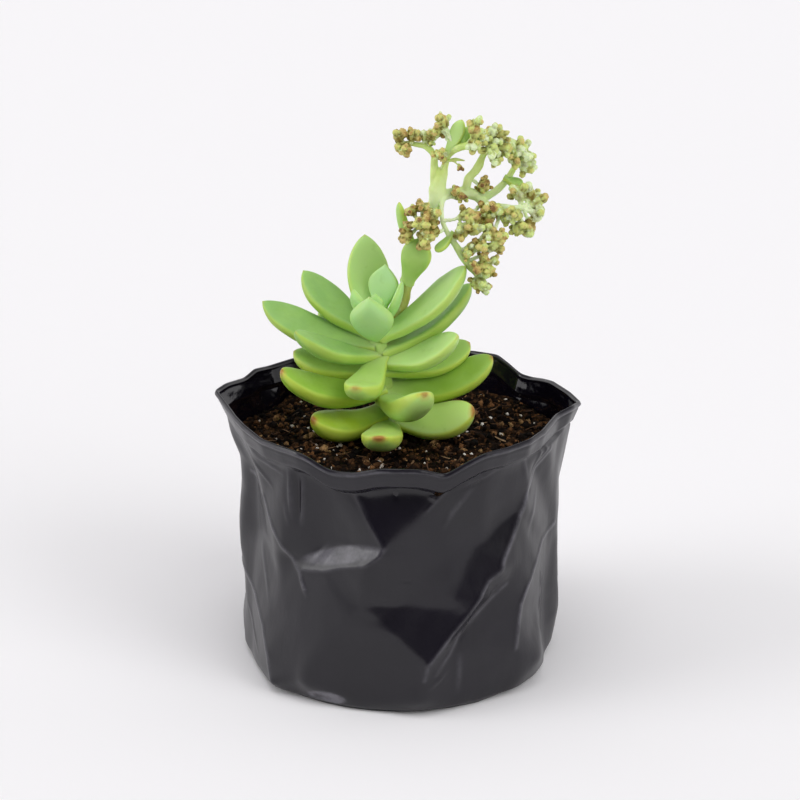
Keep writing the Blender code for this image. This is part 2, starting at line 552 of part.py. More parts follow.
flower_stalk = tube("flower_stalk", FLOWER_STALK, FLOWER_STALK_RADII, STALK)
cut_by(flower_stalk, around_stem)
around = {"flower_stalk": cutter_tube("flower_stalk", FLOWER_STALK, FLOWER_STALK_RADII)}
for name, points, radii in BRANCHES:
    branch = tube(name, points, radii, STALK)
    for cutter in around.values():
        cut_by(branch, cutter)
    around[name] = cutter_tube(name, points, radii)

for name, base, tip, bearing, width, thickness, sag in BRACTS:
    bract = blade(name, base, tip, sideways(bearing), width, thickness, sag, LEAF)
    for cutter in around.values():
        cut_by(bract, cutter)

for name, swellings in BUD_CLUSTERS:
    cluster = bud_cluster(name, swellings)
    for cutter in around.values():
        cut_by(cluster, cutter)
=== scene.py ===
import math
import random

import bmesh
import bpy
import numpy as np
from mathutils import Matrix, Vector, kdtree, noise
from mathutils.bvhtree import BVHTree
from mathutils.geometry import delaunay_2d_cdt


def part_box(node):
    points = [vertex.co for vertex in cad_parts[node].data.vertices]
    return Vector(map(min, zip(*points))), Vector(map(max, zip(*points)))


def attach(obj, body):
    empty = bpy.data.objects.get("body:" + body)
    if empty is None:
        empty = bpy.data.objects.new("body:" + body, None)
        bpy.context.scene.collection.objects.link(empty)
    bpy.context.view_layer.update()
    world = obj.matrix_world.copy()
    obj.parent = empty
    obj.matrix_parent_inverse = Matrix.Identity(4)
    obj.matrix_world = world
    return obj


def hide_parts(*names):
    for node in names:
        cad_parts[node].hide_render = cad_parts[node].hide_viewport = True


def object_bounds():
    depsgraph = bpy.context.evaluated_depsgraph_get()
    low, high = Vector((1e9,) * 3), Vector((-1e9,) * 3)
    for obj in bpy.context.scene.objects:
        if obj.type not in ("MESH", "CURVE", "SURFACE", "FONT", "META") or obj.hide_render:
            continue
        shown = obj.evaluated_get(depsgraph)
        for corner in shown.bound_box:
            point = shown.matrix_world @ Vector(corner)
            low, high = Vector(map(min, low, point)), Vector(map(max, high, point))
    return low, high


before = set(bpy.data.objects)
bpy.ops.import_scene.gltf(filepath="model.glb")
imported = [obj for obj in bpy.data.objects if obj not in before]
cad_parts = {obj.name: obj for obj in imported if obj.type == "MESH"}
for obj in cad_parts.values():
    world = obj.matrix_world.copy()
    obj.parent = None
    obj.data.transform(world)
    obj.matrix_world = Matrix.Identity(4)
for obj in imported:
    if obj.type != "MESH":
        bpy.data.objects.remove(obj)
cad_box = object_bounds()

# ---------------------------------------------------------------------------------------------------
# The grow bag. A tube of thin black polythene film, welded flat across its foot and turned over into
# a hem at the mouth. It was crumpled when it was filled, so it keeps ridges, dents and fine creases.
# ---------------------------------------------------------------------------------------------------

MM = 0.001
BAG_RADIUS = 50.0          # about how far the film is from the bag's axis, in mm
BAG_TOP = 90 * MM          # clear of the rim
BAG_COLUMNS = 520          # points round the bag
WALL_ROWS = 132            # from the foot up to the hem
HEM_ROWS = 18
INNER_ROWS = 18
FOOT_RINGS = 5
MM_PER_DEGREE = 2 * math.pi * BAG_RADIUS / 360
HEM_DEPTH = 6.0 * MM
FILM_STEP = 0.4 * MM       # how far the doubled film of the hem stands proud
BEAD_DEPTH = 1.3 * MM      # the folded edge that forms a thin bead along the very top
BEAD_HEIGHT = 0.3 * MM
INNER_GAP = 0.45 * MM      # from the outer to the inner face of the film
INNER_FLOOR = 0.5 * MM     # height of the film's inner face at the foot
CREST_HEIGHT = 0.3 * MM    # a sharp fold stays a little proud of the faces on each side of it
CREST_WIDTH = 0.7          # in mm
WEAR_AND_SHEEN_WIDTH = 0.55          # how wide the grey along a fold is, partly wear and partly a painted highlight
HELD_WIDTH = 3.0           # how far from a sharp fold the film stays crisp, in mm
ROUNDING = 12              # how much the other edges of the pressed faces are rounded off

# The flat faces pressed into the front of the film: which bearing each looks to, how far it tilts up and
# how firmly, then its corners (bearing, height in mm). Faces with a corner in common meet there.
FOLDED_FACES = (
    # the wall above the left ridge
    ((-64, 2, 1), (-90, 70), (-76, 65), (-59, 62), (-62, 74), (-84, 76)),
    ((-48, 0, 1.5), (-59, 62), (-52, 54), (-46, 49), (-42, 76), (-62, 74)),
    ((-40, -4, 1.5), (-46, 49), (-43, 45.5), (-36, 47.5), (-42, 76)),
    # the wall above the dent, in two, and the narrow face that ends at the tip
    ((-33, -6, 1), (-36, 47.5), (-31, 51), (-26, 53.2), (-31, 73), (-42, 76)),
    ((-30, -3, 1.5), (-26, 53.2), (-18, 53.8), (-11, 54), (-6, 55), (-26, 72.5), (-31, 73)),
    ((-22, 5, 2), (-26, 72.5), (-17, 71), (-14, 67), (-11, 62), (-6, 55)),
    # the floor of the dent, with its lip in front
    ((-40, 31, 3), (-43, 45.5), (-36, 47.5), (-31, 51), (-26, 53.2), (-18, 53.8), (-11, 54), (-6, 55),
     (-7, 52.6), (-12, 49.4), (-21, 47.1), (-28, 44.8), (-38, 43.2)),
    # the hollow under the hem
    ((-2, 20, 3), (-17, 71), (0, 73), (14, 72), (12, 68.5), (4, 62), (-6, 55), (-11, 62), (-14, 67)),
    # the broad front, in two
    ((10, 0, 1.5), (-6, 55), (4, 62), (16, 52), (27, 47.5), (22, 41.5), (19, 37.5), (12, 34.6), (0, 36),
     (-9, 36.6), (-13, 36), (-12, 42.4), (-12, 49.4), (-7, 52.6)),
    ((25, 5, 1), (4, 62), (12, 68.5), (14, 72), (32, 76), (51, 75), (51, 67.5), (50.5, 62), (45, 60.5),
     (39, 57.5), (32, 52.5), (27, 47.5), (16, 52)),
    # the valley to the left of the right ridge
    ((14, 21, 8), (50.5, 62), (45, 60.5), (39, 57.5), (32, 52.5), (27, 47.5), (22, 41.5), (19, 37.5),
     (24, 37.6), (32, 41.4), (37, 44), (38.5, 47), (43, 52.7), (47.5, 59.5)),
    # the valley across the middle
    ((4, 20, 3), (-13, 36), (-9, 36.6), (0, 36), (12, 34.6), (19, 37.5), (24, 37.6), (28, 36.4),
     (24, 32.4), (17, 26.2), (11, 20), (9, 18), (5, 21.8), (0, 26), (-7, 31.7)),
    # below the dent, and the middle of the foot
    ((-36, 9, 2), (-38, 43.2), (-28, 44.8), (-21, 47.1), (-12, 49.4), (-12, 42.4), (-13, 36),
     (-18, 31), (-26, 23.1), (-30, 17), (-35, 8), (-35, 18.7), (-38, 22.8)),
    ((-46, 5, 1), (-43, 45.5), (-38, 43.2), (-38, 22.8), (-45, 25.3), (-47, 29.3), (-49, 36.4)),
    ((-8, 6, 1), (-13, 36), (-7, 31.7), (0, 26), (5, 21.8), (9, 18), (8, 13), (6, 6), (-16, 3),
     (-34, 3), (-35, 8), (-30, 17), (-26, 23.1), (-18, 31)),
    # the ridge that runs down to the left from the foot of the right ridge, and the wall under it
    ((26, 12, 1), (37, 44), (32, 41.4), (28, 36.4), (24, 32.4), (17, 26.2), (11, 20), (9, 18), (8, 13),
     (12, 14.5), (17, 20), (21, 25.4), (29, 31), (36, 35.3), (41, 38)),
    ((27, 9, 1.5), (8, 13), (12, 14.5), (17, 20), (21, 25.4), (29, 31), (36, 35.3), (41, 38), (47, 30.3),
     (45, 24.3), (43, 17), (46, 14), (46, 3), (21, 3), (6, 6)),
    # the right flank
    ((56, 6, 1), (47.5, 59.5), (50.5, 62), (51, 67.5), (51, 75), (66, 76), (58, 71.5), (51, 65.8)),
    ((62, 4, 1), (66, 76), (58, 71.5), (51, 65.8), (47.5, 59.5), (43, 52.7), (38.5, 47), (37, 44),
     (45, 43.7), (58, 40), (67, 45), (78, 47), (82, 76)),
    ((46, 8, 1), (37, 44), (41, 38), (47, 30.3), (52, 35.4), (58, 40), (45, 43.7)),
    ((74, 0, 1), (78, 47), (67, 45), (58, 40), (52, 35.4), (47, 30.3), (45, 24.3), (43, 17), (52, 16),
     (66, 22), (70, 27)),
    ((50, 14, 1), (43, 17), (46, 14), (56, 10), (52, 16)),
    # the left flank
    ((-77, -2, 2), (-76, 65), (-59, 62), (-52, 54), (-46, 49), (-51, 46), (-63, 47), (-80, 47)),
    ((-56, 4, 1), (-80, 47), (-63, 47), (-51, 46), (-46, 49), (-43, 45.5), (-49, 36.4), (-58, 19.6),
     (-68, 26), (-84, 33)),
    ((-50, 3, 1), (-49, 36.4), (-47, 29.3), (-45, 25.3), (-38, 22.8), (-35, 18.7), (-37, 8), (-48, 4),
     (-52, 12.2), (-58, 19.6)),
    ((-77, 0, 1.5), (-84, 33), (-68, 26), (-58, 19.6), (-52, 12.2), (-48, 4), (-70, 3), (-88, 8)),
)
WALL_PULL = 0.25           # how firmly a corner inside the front keeps to the round wall
EDGE_PULL = 2.5            # the same at the hem, at the foot and where the front ends
# The sharpest creases: how grey each is painted along its crest, partly as wear and partly as a painted
# highlight, then (bearing, height) along it.
SHARP_FOLDS = (
    (1.0, (-76, 65), (-59, 62), (-52, 54), (-46, 49), (-43, 45.5), (-39, 42.1), (-36, 37.5)),
    (1.0, (-84, 33), (-68, 26), (-58, 19.6), (-52, 12.2), (-48, 4)),
    (0.3, (-17, 71), (-14, 67), (-11, 62), (-6, 55)),
    (0.4, (-38, 43.2), (-28, 44.8), (-21, 47.1), (-12, 49.4), (-7, 52.6), (-6, 55)),
    (1.0, (66, 76), (58, 71.5), (51, 65.8), (47.5, 59.5), (43, 52.7), (38.5, 47), (37, 44)),
    (0.6, (37, 44), (32, 41.4), (28, 36.4), (24, 32.4), (17, 26.2), (11, 20), (9, 18), (8, 13)),
    (0.5, (41, 38), (36, 35.3), (29, 31), (21, 25.4), (17, 20), (12, 14.5)),
    (1.0, (78, 47), (67, 45), (58, 40), (52, 35.4), (47, 30.3), (45, 24.3), (43, 17)),
)
HELD_EDGES = (             # as crisp, but not proud of the faces
    ((9, 18), (5, 21.8), (0, 26), (-7, 31.7), (-13, 36), (-9, 36.6), (0, 36), (12, 34.6), (19, 37.5)),
    ((-18, 53.8), (-11, 54), (-6, 55)),
)
TUCKS = (                  # short wrinkles: start, end, how far out, half width, in mm but bearings
    ((-76, 76), (-60, 70), 0.4, 0.6), ((-70, 77), (-52, 67), 0.45, 0.5),
    ((-60, 75.5), (-44, 73.5), 0.4, 0.45), ((-41, 76), (-41.5, 60), 0.8, 0.8),
    ((-38.6, 75), (-39.6, 58), -0.9, 0.8), ((-36.4, 74), (-38, 58), 0.7, 0.7),
    ((-44, 64), (-43, 57), 0.3, 0.6), ((-36, 44.5), (-28, 52), 0.2, 0.9),
    ((-30, 45.5), (-24, 52.5), -0.2, 0.9), ((-15, 49.4), (-9, 53.6), 0.25, 0.8),
    ((-39, 42.1), (-35, 35), 0.35, 0.5), ((-2, 72.5), (-1, 69), -0.35, 0.8),
    ((11, 70), (13, 69), 0.5, 0.6), ((20, 74), (9, 65), 0.35, 0.5), ((24, 74), (36, 78), 0.4, 0.45),
    ((20, 71), (32, 75), -0.3, 0.4), ((27, 73), (16, 60), 0.25, 0.9), ((58, 80), (53, 70), 0.4, 0.6),
    ((64, 80), (58, 74), 0.4, 0.5), ((46, 79), (50, 70), 0.35, 0.6), ((60, 64), (53, 52), 0.2, 1.2),
    ((0, 44), (5, 43.4), -0.35, 0.45), ((10, 10), (16, 14.5), 0.4, 0.5),
    ((21, 19), (20.5, 7), 0.3, 0.9), ((30, 34), (20, 23), -0.3, 0.5), ((66, 35), (70, 26), 0.4, 0.7),
    ((70, 26), (67, 20), 0.4, 0.7), ((-66, 44), (-56, 28), 0.2, 1.0), ((-78, 20), (-64, 8), 0.3, 0.8),
    ((100, 70), (112, 58), 0.5, 0.8), ((130, 74), (124, 60), 0.5, 0.8),
    ((160, 72), (168, 60), 0.4, 0.8), ((-160, 72), (-150, 62), 0.5, 0.8),
    ((-130, 74), (-140, 60), 0.4, 0.7), ((-108, 72), (-100, 60), 0.5, 0.8),
)
FRONT_REACH = (72, 86)     # the bearings between which the pressed faces fade out
FRONT_CRUMPLE = 0.4        # the front is smoother than the rest of the wall
BACK_REACH = (100, 115)    # the bearings between which the back's folds fade in
BACK_DEPTH = 1.35          # how much deeper they are than the CAD's
# how grey the outward tucks are painted, partly wear and partly a painted highlight on their crests
TUCK_WEAR_AND_SHEEN = 0.35
# Two spots painted pale grey as a painted reflection, one at the foot and one on the ledge in the dent:
# middle (bearing, height), half length, half height and slope, in mm but bearings. The first also sinks
# the film a little.
FOOT_SHEEN = (-27, 3.4, 6.5, 2.3, 0.0)
FOOT_SHEEN_DEPTH = 0.5 * MM
LEDGE_SHEEN = (-22, 50.3, 15, 2.7, 0.25)


def outward(bearing):
    """Level unit vector at a bearing: 0 degrees is the front, and bearings grow towards +X."""
    turn = math.radians(bearing)
    return Vector((math.sin(turn), -math.cos(turn), 0.0))


def cad_tree(node):
    """A CAD piece as a tree that rays can be cast at."""
    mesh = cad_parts[node].data
    faces = [tuple(face.vertices) for face in mesh.polygons]
    return BVHTree.FromPolygons([vert.co for vert in mesh.vertices], faces)


bag_tree = cad_tree("grow_bag")


def wall_at(direction, height):
    """How far out the bag's outer face lies in a direction at a height, or None above the rim."""
    start = direction * BAG_TOP + Vector((0, 0, height))
    point = bag_tree.ray_cast(start, -direction, BAG_TOP)[0]
    return point.xy.length if point else None


def rim_at(direction):
    """Height of the bag's rim in a direction."""
    low, high = 0.8 * BAG_TOP, BAG_TOP
    for _ in range(12):
        middle = (low + high) / 2
        if wall_at(direction, middle) is None:
            high = middle
        else:
            low = middle
    return low


def soften(field, passes):
    """Blur a field of rows and columns, where the columns run all the way round."""
    for _ in range(passes):
        field = (np.roll(field, 1, 1) + 2 * field + np.roll(field, -1, 1)) / 4
        padded = np.pad(field, ((1, 1), (0, 0)), "edge")
        field = (padded[:-2] + 2 * field + padded[2:]) / 4
    return field


def smooth_step(low, high, value):
    """0 up to low and 1 from high on, with a soft slope between them."""
    share = np.clip((value - low) / (high - low), 0.0, 1.0)
    return share * share * (3 - 2 * share)


directions = [outward(360 * column / BAG_COLUMNS) for column in range(BAG_COLUMNS)]
true_rim = np.array([rim_at(direction) for direction in directions])
rim = soften(true_rim[None, :], 6)[0]
wall_shares = np.linspace(0.0, 1.0, WALL_ROWS, endpoint=False)[:, None]
hem_shares = np.linspace(0.0, 1.0, HEM_ROWS)[:, None]
heights = np.vstack([wall_shares * (rim - HEM_DEPTH), rim - HEM_DEPTH + hem_shares * HEM_DEPTH])
radii = np.array([
    [wall_at(direction, min(max(z, 0.05 * MM), top - 0.05 * MM))
     for direction, z, top in zip(directions, row, true_rim)]
    for row in heights
])
radii = soften(radii, 3)

ROUND_LENGTH = 2 * math.pi * BAG_RADIUS * MM
along = np.linspace(0.0, ROUND_LENGTH, BAG_COLUMNS, endpoint=False)


def crumple(cell, depth, seed):
    """Random flat facets with straight creases between them, as crushed film keeps."""
    draw = random.Random(seed)
    columns = round(ROUND_LENGTH / cell)
    points = []
    levels = []
    for row in range(-1, round(BAG_TOP / cell) + 2):
        for column in range(columns):
            spot = ((column + draw.random()) * cell, (row + draw.random()) * cell)
            level = draw.uniform(-depth, depth)
            for lap in (-1, 0, 1):
                x = spot[0] + lap * columns * cell
                if -2 * cell < x < ROUND_LENGTH + 2 * cell:
                    points.append(Vector((x, spot[1])))
                    levels.append(level)
    flat, _, faces, _, _, _ = delaunay_2d_cdt(points, [], [], 0, 1e-6)
    sheet = BVHTree.FromPolygons([(p.x, p.y, z) for p, z in zip(flat, levels)], faces)
    down = Vector((0, 0, -1))
    return np.array([
        [(sheet.ray_cast(Vector((x, z, 1.0)), down)[0] or Vector()).z for x, z in zip(along, row)]
        for row in heights
    ])


def streaks(scale_along, scale_up, seed):
    """Smooth noise, stretched by different scales along and up the wall."""
    shift = Vector((seed * 7.3, seed * 3.1, seed * 1.7))
    return np.array([
        [noise.noise(Vector((d.x * scale_along, d.y * scale_along, z * scale_up)) + shift)
         for d, z in zip(directions, row)]
        for row in heights
    ])


def folded_front():
    """The pressed faces as flat pieces of film: how far from the axis each point of the wall lies."""
    corners = []

    def known(corner):
        if corner not in corners:
            corners.append(corner)
        return corners.index(corner)

    outlines = [[known(corner) for corner in face[1:]] for face in FOLDED_FACES]
    pressed = len(corners)
    for bearing in range(-100, 101, 20):
        known((bearing, -3))
        known((bearing, 78))
        known((bearing, 92))
    for height in (14, 30, 46, 62):
        known((-100, height))
        known((100, height))
    corner_heights = [height for _, height in corners]
    wall = np.interp(corner_heights, heights.mean(1) / MM, round_bag[:, 0] / MM)

    # Each face is a plane, so all its corners have one value of
    # distance x cos(tilt) x cos(turn) + height x sin(tilt).
    rows, values = [], []
    for face, outline in enumerate(outlines):
        looks_to, tilt, firmness = FOLDED_FACES[face][0]
        tilt = math.radians(tilt)
        for corner in outline:
            bearing, height = corners[corner]
            row = np.zeros(pressed + len(outlines))
            row[corner] = math.cos(tilt) * math.cos(math.radians(bearing - looks_to))
            row[pressed + face] = -1
            rows.append(row * firmness)
            values.append(-height * math.sin(tilt) * firmness)
    for corner, (bearing, height) in enumerate(corners[:pressed]):
        pull = EDGE_PULL if height >= 74 or height <= 3 or abs(bearing) >= 82 else WALL_PULL
        row = np.zeros(pressed + len(outlines))
        row[corner] = pull
        rows.append(row)
        values.append(wall[corner] * pull)
    reach = wall.copy()
    reach[:pressed] = np.linalg.lstsq(np.array(rows), np.array(values), rcond=None)[0][:pressed]

    spots = [Vector((bearing * MM_PER_DEGREE, height)) for bearing, height in corners]
    creases = [edge for outline in outlines for edge in zip(outline, outline[1:] + outline[:1])]
    flat, _, faces, sources, _, _ = delaunay_2d_cdt(spots, creases, [], 0, 1e-4)
    points = []
    for spot, source in zip(flat, sources):
        far = reach[source[0]] if source else BAG_RADIUS
        points.append(outward(spot.x / MM_PER_DEGREE) * far + Vector((0, 0, spot.y)))
    sheet = BVHTree.FromPolygons(points, faces)
    found = np.zeros_like(heights)
    for row, levels in enumerate(heights):
        for column, (direction, level) in enumerate(zip(directions, levels)):
            hit = sheet.ray_cast(Vector((0, 0, level / MM)), direction)[0]
            found[row, column] = hit.xy.length * MM if hit else round_bag[row, 0]
    return found


def from_line(start, end):
    """Distance in mm of each point of the wall from a line on the film, and its share along the line."""
    start = np.array(start) * (MM_PER_DEGREE, 1)
    way = np.array(end) * (MM_PER_DEGREE, 1) - start
    across, up = bearings * MM_PER_DEGREE - start[0], heights / MM - start[1]
    share = np.clip((across * way[0] + up * way[1]) / way.dot(way), 0, 1)
    return np.hypot(across - share * way[0], up - share * way[1]), share


bearings = (np.arange(BAG_COLUMNS) * 360 / BAG_COLUMNS + 180) % 360 - 180
below_rim = rim - heights
plain = smooth_step(6.2 * MM, 7.6 * MM, below_rim) * smooth_step(0.2 * MM, 2 * MM, heights)
round_bag = radii.mean(1)[:, None]
front = (1 - smooth_step(*FRONT_REACH, abs(bearings))) * plain
back = smooth_step(*BACK_REACH, abs(bearings)) * plain


def from_folds(folds):
    """Distance in mm of each point of the wall from the nearest of some folds."""
    lines = [line for fold in folds for line in zip(fold, fold[1:])]
    return np.min([from_line(*line)[0] for line in lines], axis=0)


def from_spot(bearing, height, half_length, half_height, slope):
    """How far each point of the wall is from the middle of an oval spot, squared: 1 at its edge."""
    across = bearings - bearing
    up = heights / MM - height - slope * across
    return (across * MM_PER_DEGREE / half_length) ** 2 + (up / half_height) ** 2


nearest = from_folds([line for _, *line in SHARP_FOLDS])
crisp = soften(folded_front(), 3)
held = np.exp(-(np.minimum(nearest, from_folds(HELD_EDGES)) / HELD_WIDTH) ** 2)
folded = soften(crisp, ROUNDING) * (1 - held) + crisp * held
radii = radii + (radii - round_bag) * (BACK_DEPTH - 1) * back
radii = radii * (1 - front) + folded * front
radii += np.exp(-(nearest / CREST_WIDTH) ** 2) * CREST_HEIGHT * plain
# Grey is painted along the sharp folds, the outward tucks and the bead at the rim, partly as wear and
# partly as a painted highlight; the two spots are painted pale as a painted reflection.
rubbed_and_lit = [worn_and_lit * np.exp(-(from_folds([line]) / WEAR_AND_SHEEN_WIDTH) ** 2) for worn_and_lit, *line in SHARP_FOLDS]
wear_and_sheen = np.max(rubbed_and_lit, axis=0) * plain
foot_sheen = from_spot(*FOOT_SHEEN)
radii -= FOOT_SHEEN_DEPTH * np.exp(-foot_sheen * 1.5)
wear_and_sheen = np.maximum(wear_and_sheen, 1.8 * smooth_step(1.25, 0.55, foot_sheen))
wear_and_sheen = np.maximum(wear_and_sheen, smooth_step(1.2, 0.5, from_spot(*LEDGE_SHEEN)))
for start, end, out, half_width in TUCKS:
    away, share = from_line(start, end)
    tuck = np.exp(-(away / half_width) ** 2) * np.sin(np.pi * (0.08 + 0.84 * share)) * plain
    radii += out * MM * tuck
    if 0 < out < 1:
        wear_and_sheen = np.maximum(wear_and_sheen, tuck * TUCK_WEAR_AND_SHEEN)
crushed = 0.45 + 0.55 * smooth_step(-0.2, 0.35, streaks(1.6, 26, 1))
relief = crumple(11.0 * MM, 0.24 * MM, 3) + crumple(5.0 * MM, 0.09 * MM, 8)
relief = soften(relief, 1) * crushed * plain * (1 - (1 - FRONT_CRUMPLE) * front)
relief += 0.05 * MM * streaks(9, 900, 5) * (1 - plain)
relief += (0.16 * streaks(4, 70, 6) + 0.05 * streaks(11, 200, 7)) * MM * plain
hem = smooth_step(HEM_DEPTH + 0.3 * MM, HEM_DEPTH - 0.25 * MM, below_rim)
hem_groove = np.exp(-((below_rim - HEM_DEPTH - 0.5 * MM) / (0.45 * MM)) ** 2)
bead = np.sin(np.pi * np.clip(below_rim / BEAD_DEPTH, 0, 1))
# a painted highlight along the bead at the rim, partly wear
wear_and_sheen = np.maximum(wear_and_sheen, 0.7 * bead)
bead_groove = np.exp(-((below_rim - BEAD_DEPTH - 0.3 * MM) / (0.3 * MM)) ** 2)
outer = radii + relief + FILM_STEP * hem - 0.3 * MM * hem_groove
outer += BEAD_HEIGHT * bead - 0.16 * MM * bead_groove


def ring_at(distances, levels):
    """One ring of points round the axis, from distances and heights for every column."""
    return [direction * float(far) + Vector((0, 0, float(level)))
            for direction, far, level in zip(directions, distances, levels)]


def ring_mesh(name, rings, start, end):
    """A closed mesh through rings of points, with one point closing it at each end.

    The rings run anticlockwise round the way that they follow, so that the faces look outwards.
    """
    count, sides = len(rings), len(rings[0])
    points = [tuple(point) for ring in rings for point in ring] + [tuple(start), tuple(end)]
    faces = []
    for side in range(sides):
        after = (side + 1) % sides
        faces.append((count * sides, after, side))
        faces.append((count * sides + 1, (count - 1) * sides + side, (count - 1) * sides + after))
        for ring in range(count - 1):
            low, high = ring * sides, (ring + 1) * sides
            faces.append((low + side, low + after, high + after, high + side))
    mesh = bpy.data.meshes.new(name)
    mesh.from_pydata(points, [], faces)
    mesh.shade_smooth()
    return mesh


def add_piece(name, mesh, finish, slot, *nodes):
    """Put a mesh in the scene as a piece of the object that stands for some CAD nodes."""
    piece = bpy.data.objects.new(name, mesh)
    bpy.context.scene.collection.objects.link(piece)
    mesh.materials.append(finish)
    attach(piece, "root")
    if nodes:
        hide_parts(*nodes)
    return piece


def note_points(mesh, name, values):
    """Keep a number for every point of a mesh, for its material to read."""
    noted = mesh.attributes.new(name, "FLOAT", "POINT").data
    noted.foreach_set("value", np.asarray(values, np.float32))


def new_material(name, roughness, specular=0.5):
    """A new material, with its node tree and its shader."""
    made = bpy.data.materials.new(name)
    made.use_nodes = True
    shader = made.node_tree.nodes["Principled BSDF"]
    shader.inputs["Roughness"].default_value = roughness
    shader.inputs["Specular IOR Level"].default_value = specular
    return made, made.node_tree, shader


def add_node(tree, kind, inputs=(), **settings):
    """Add a node. Each input is a (socket, value) pair, where a socket as value makes a link."""
    made = tree.nodes.new(kind)
    for key, value in settings.items():
        setattr(made, key, value)
    for key, value in inputs:
        if isinstance(value, bpy.types.NodeSocket):
            tree.links.new(value, made.inputs[key])
        else:
            made.inputs[key].default_value = value
    return made


def object_noise(tree, scale, detail=4.0, roughness=0.55, stretch=(1, 1, 1)):
    """Cloudy greys that stay with the object."""
    place = add_node(tree, "ShaderNodeTexCoord").outputs["Object"]
    place = add_node(tree, "ShaderNodeMapping", [("Vector", place), ("Scale", stretch)]).outputs[0]
    return add_node(tree, "ShaderNodeTexNoise", [
        ("Vector", place), ("Scale", scale), ("Detail", detail), ("Roughness", roughness),
    ]).outputs["Fac"]


def point_value(tree, name):
    """The number noted for each point under that name."""
    return add_node(tree, "ShaderNodeAttribute", attribute_name=name).outputs["Fac"]


def ramp(factor, *stops):
    """Colours or greys by position. Each stop is (position, colour) or (position, grey)."""
    made = add_node(factor.id_data, "ShaderNodeValToRGB", [("Fac", factor)])
    elements = made.color_ramp.elements
    while len(elements) < len(stops):
        elements.new(0.5)
    for element, (position, colour) in zip(elements, stops):
        element.position = position
        element.color = (*colour, 1.0) if isinstance(colour, tuple) else (colour, colour, colour, 1.0)
    return made.outputs["Color"]


def mix(share, first, second):
    """The first colour, with a share of the second colour laid over it."""
    inputs = [(0, share), (6, first), (7, (*second, 1.0) if isinstance(second, tuple) else second)]
    return add_node(share.id_data, "ShaderNodeMix", inputs, data_type="RGBA").outputs[2]


def times(first, second):
    """A value multiplied by another value or by a number."""
    inputs = [(0, first), (1, second)]
    return add_node(first.id_data, "ShaderNodeMath", inputs, operation="MULTIPLY").outputs[0]


def plus(first, second):
    """The sum of a value and another value or a number."""
    inputs = [(0, first), (1, second)]
    return add_node(first.id_data, "ShaderNodeMath", inputs, operation="ADD").outputs[0]


def feed(shader, socket, source):
    """Link a colour or a value to one of the shader's sockets."""
    source.id_data.links.new(source, shader.inputs[socket])


def bump(shader, height, distance):
    """Relief too fine for the mesh, so deep at most."""
    made = add_node(height.id_data, "ShaderNodeBump", [("Height", height), ("Distance", distance)])
    feed(shader, "Normal", made.outputs[0])


film, tree, shader = new_material("black_film", 0.32, 0.5)
dust = object_noise(tree, 26, 6, 0.62)
black = ramp(dust, (0.35, (0.003, 0.002, 0.0055)), (0.75, (0.006, 0.0045, 0.0095)))
broken = ramp(object_noise(tree, 90, 4, 0.7), (0.35, 0.1), (0.65, 0.9))
# Pale grey laid over the black: partly wear, partly painted highlight and painted reflection.
worn_and_lit = times(point_value(tree, "worn_and_lit"), broken)
feed(shader, "Base Color", mix(worn_and_lit, black, (0.125, 0.12, 0.14)))
scuffs = object_noise(tree, 60, 5, 0.6, (1, 1, 0.35))
outer_gloss = ramp(scuffs, (0.3, 0.27), (0.7, 0.36))
gloss = mix(point_value(tree, "inside"), outer_gloss, (0.08, 0.08, 0.08))
feed(shader, "Roughness", gloss)
pull = object_noise(tree, 240, 3, 0.5, (1, 1, 0.16))
grain = object_noise(tree, 900, 2, 0.5)
bump(shader, plus(pull, times(grain, 0.25)), 0.09 * MM)

foot_shares = np.linspace(0.0, 1.0, FOOT_RINGS + 1)[1:]
bag_rings = [ring_at(outer[0] * share, np.zeros(BAG_COLUMNS)) for share in foot_shares]
bag_rings += [ring_at(far, level) for far, level in zip(outer[1:], heights[1:])]
half_hem = (INNER_GAP + FILM_STEP) / 2
for turn in (45, 90, 135):
    lean = half_hem * (1 - math.cos(math.radians(turn)))
    climb = half_hem * math.sin(math.radians(turn))
    bag_rings.append(ring_at(outer[-1] - lean, heights[-1] + climb))
inner_levels = np.concatenate([np.linspace(0, 7 * MM, 12), np.linspace(9 * MM, 78 * MM, INNER_ROWS)])
for drop in inner_levels:
    level = np.maximum(rim - drop, INNER_FLOOR)
    row = np.array([np.interp(z, heights[:, c], (radii + relief)[:, c]) for c, z in enumerate(level)])
    thick = INNER_GAP + FILM_STEP * smooth_step(HEM_DEPTH + 0.3 * MM, HEM_DEPTH - 0.3 * MM, drop)
    bag_rings.append(ring_at(row - thick, level))
floor_level = np.full(BAG_COLUMNS, INNER_FLOOR)
for share in (0.95, 0.6, 0.25):
    bag_rings.append(ring_at((outer[0] - INNER_GAP) * share, floor_level))
bag_mesh = ring_mesh("film_bag", bag_rings, (0, 0, 0), (0, 0, INNER_FLOOR))
worn_and_lit_points = np.zeros(len(bag_mesh.vertices))
worn_and_lit_points[FOOT_RINGS * BAG_COLUMNS:][:wear_and_sheen[1:].size] = wear_and_sheen[1:].ravel()
note_points(bag_mesh, "worn_and_lit", worn_and_lit_points)
inside = np.arange(len(bag_mesh.vertices)) > (FOOT_RINGS + len(heights) + 2) * BAG_COLUMNS
note_points(bag_mesh, "inside", inside)
add_piece("film_bag", bag_mesh, film, "film", "grow_bag")

# ---------------------------------------------------------------------------------------------------
# The potting soil. Moist peat and composted bark, poured in loose up to a finger's breadth under the
# rim, so its top is rough crumbs. White perlite grains and a few bits of bark lie among them.
# ---------------------------------------------------------------------------------------------------

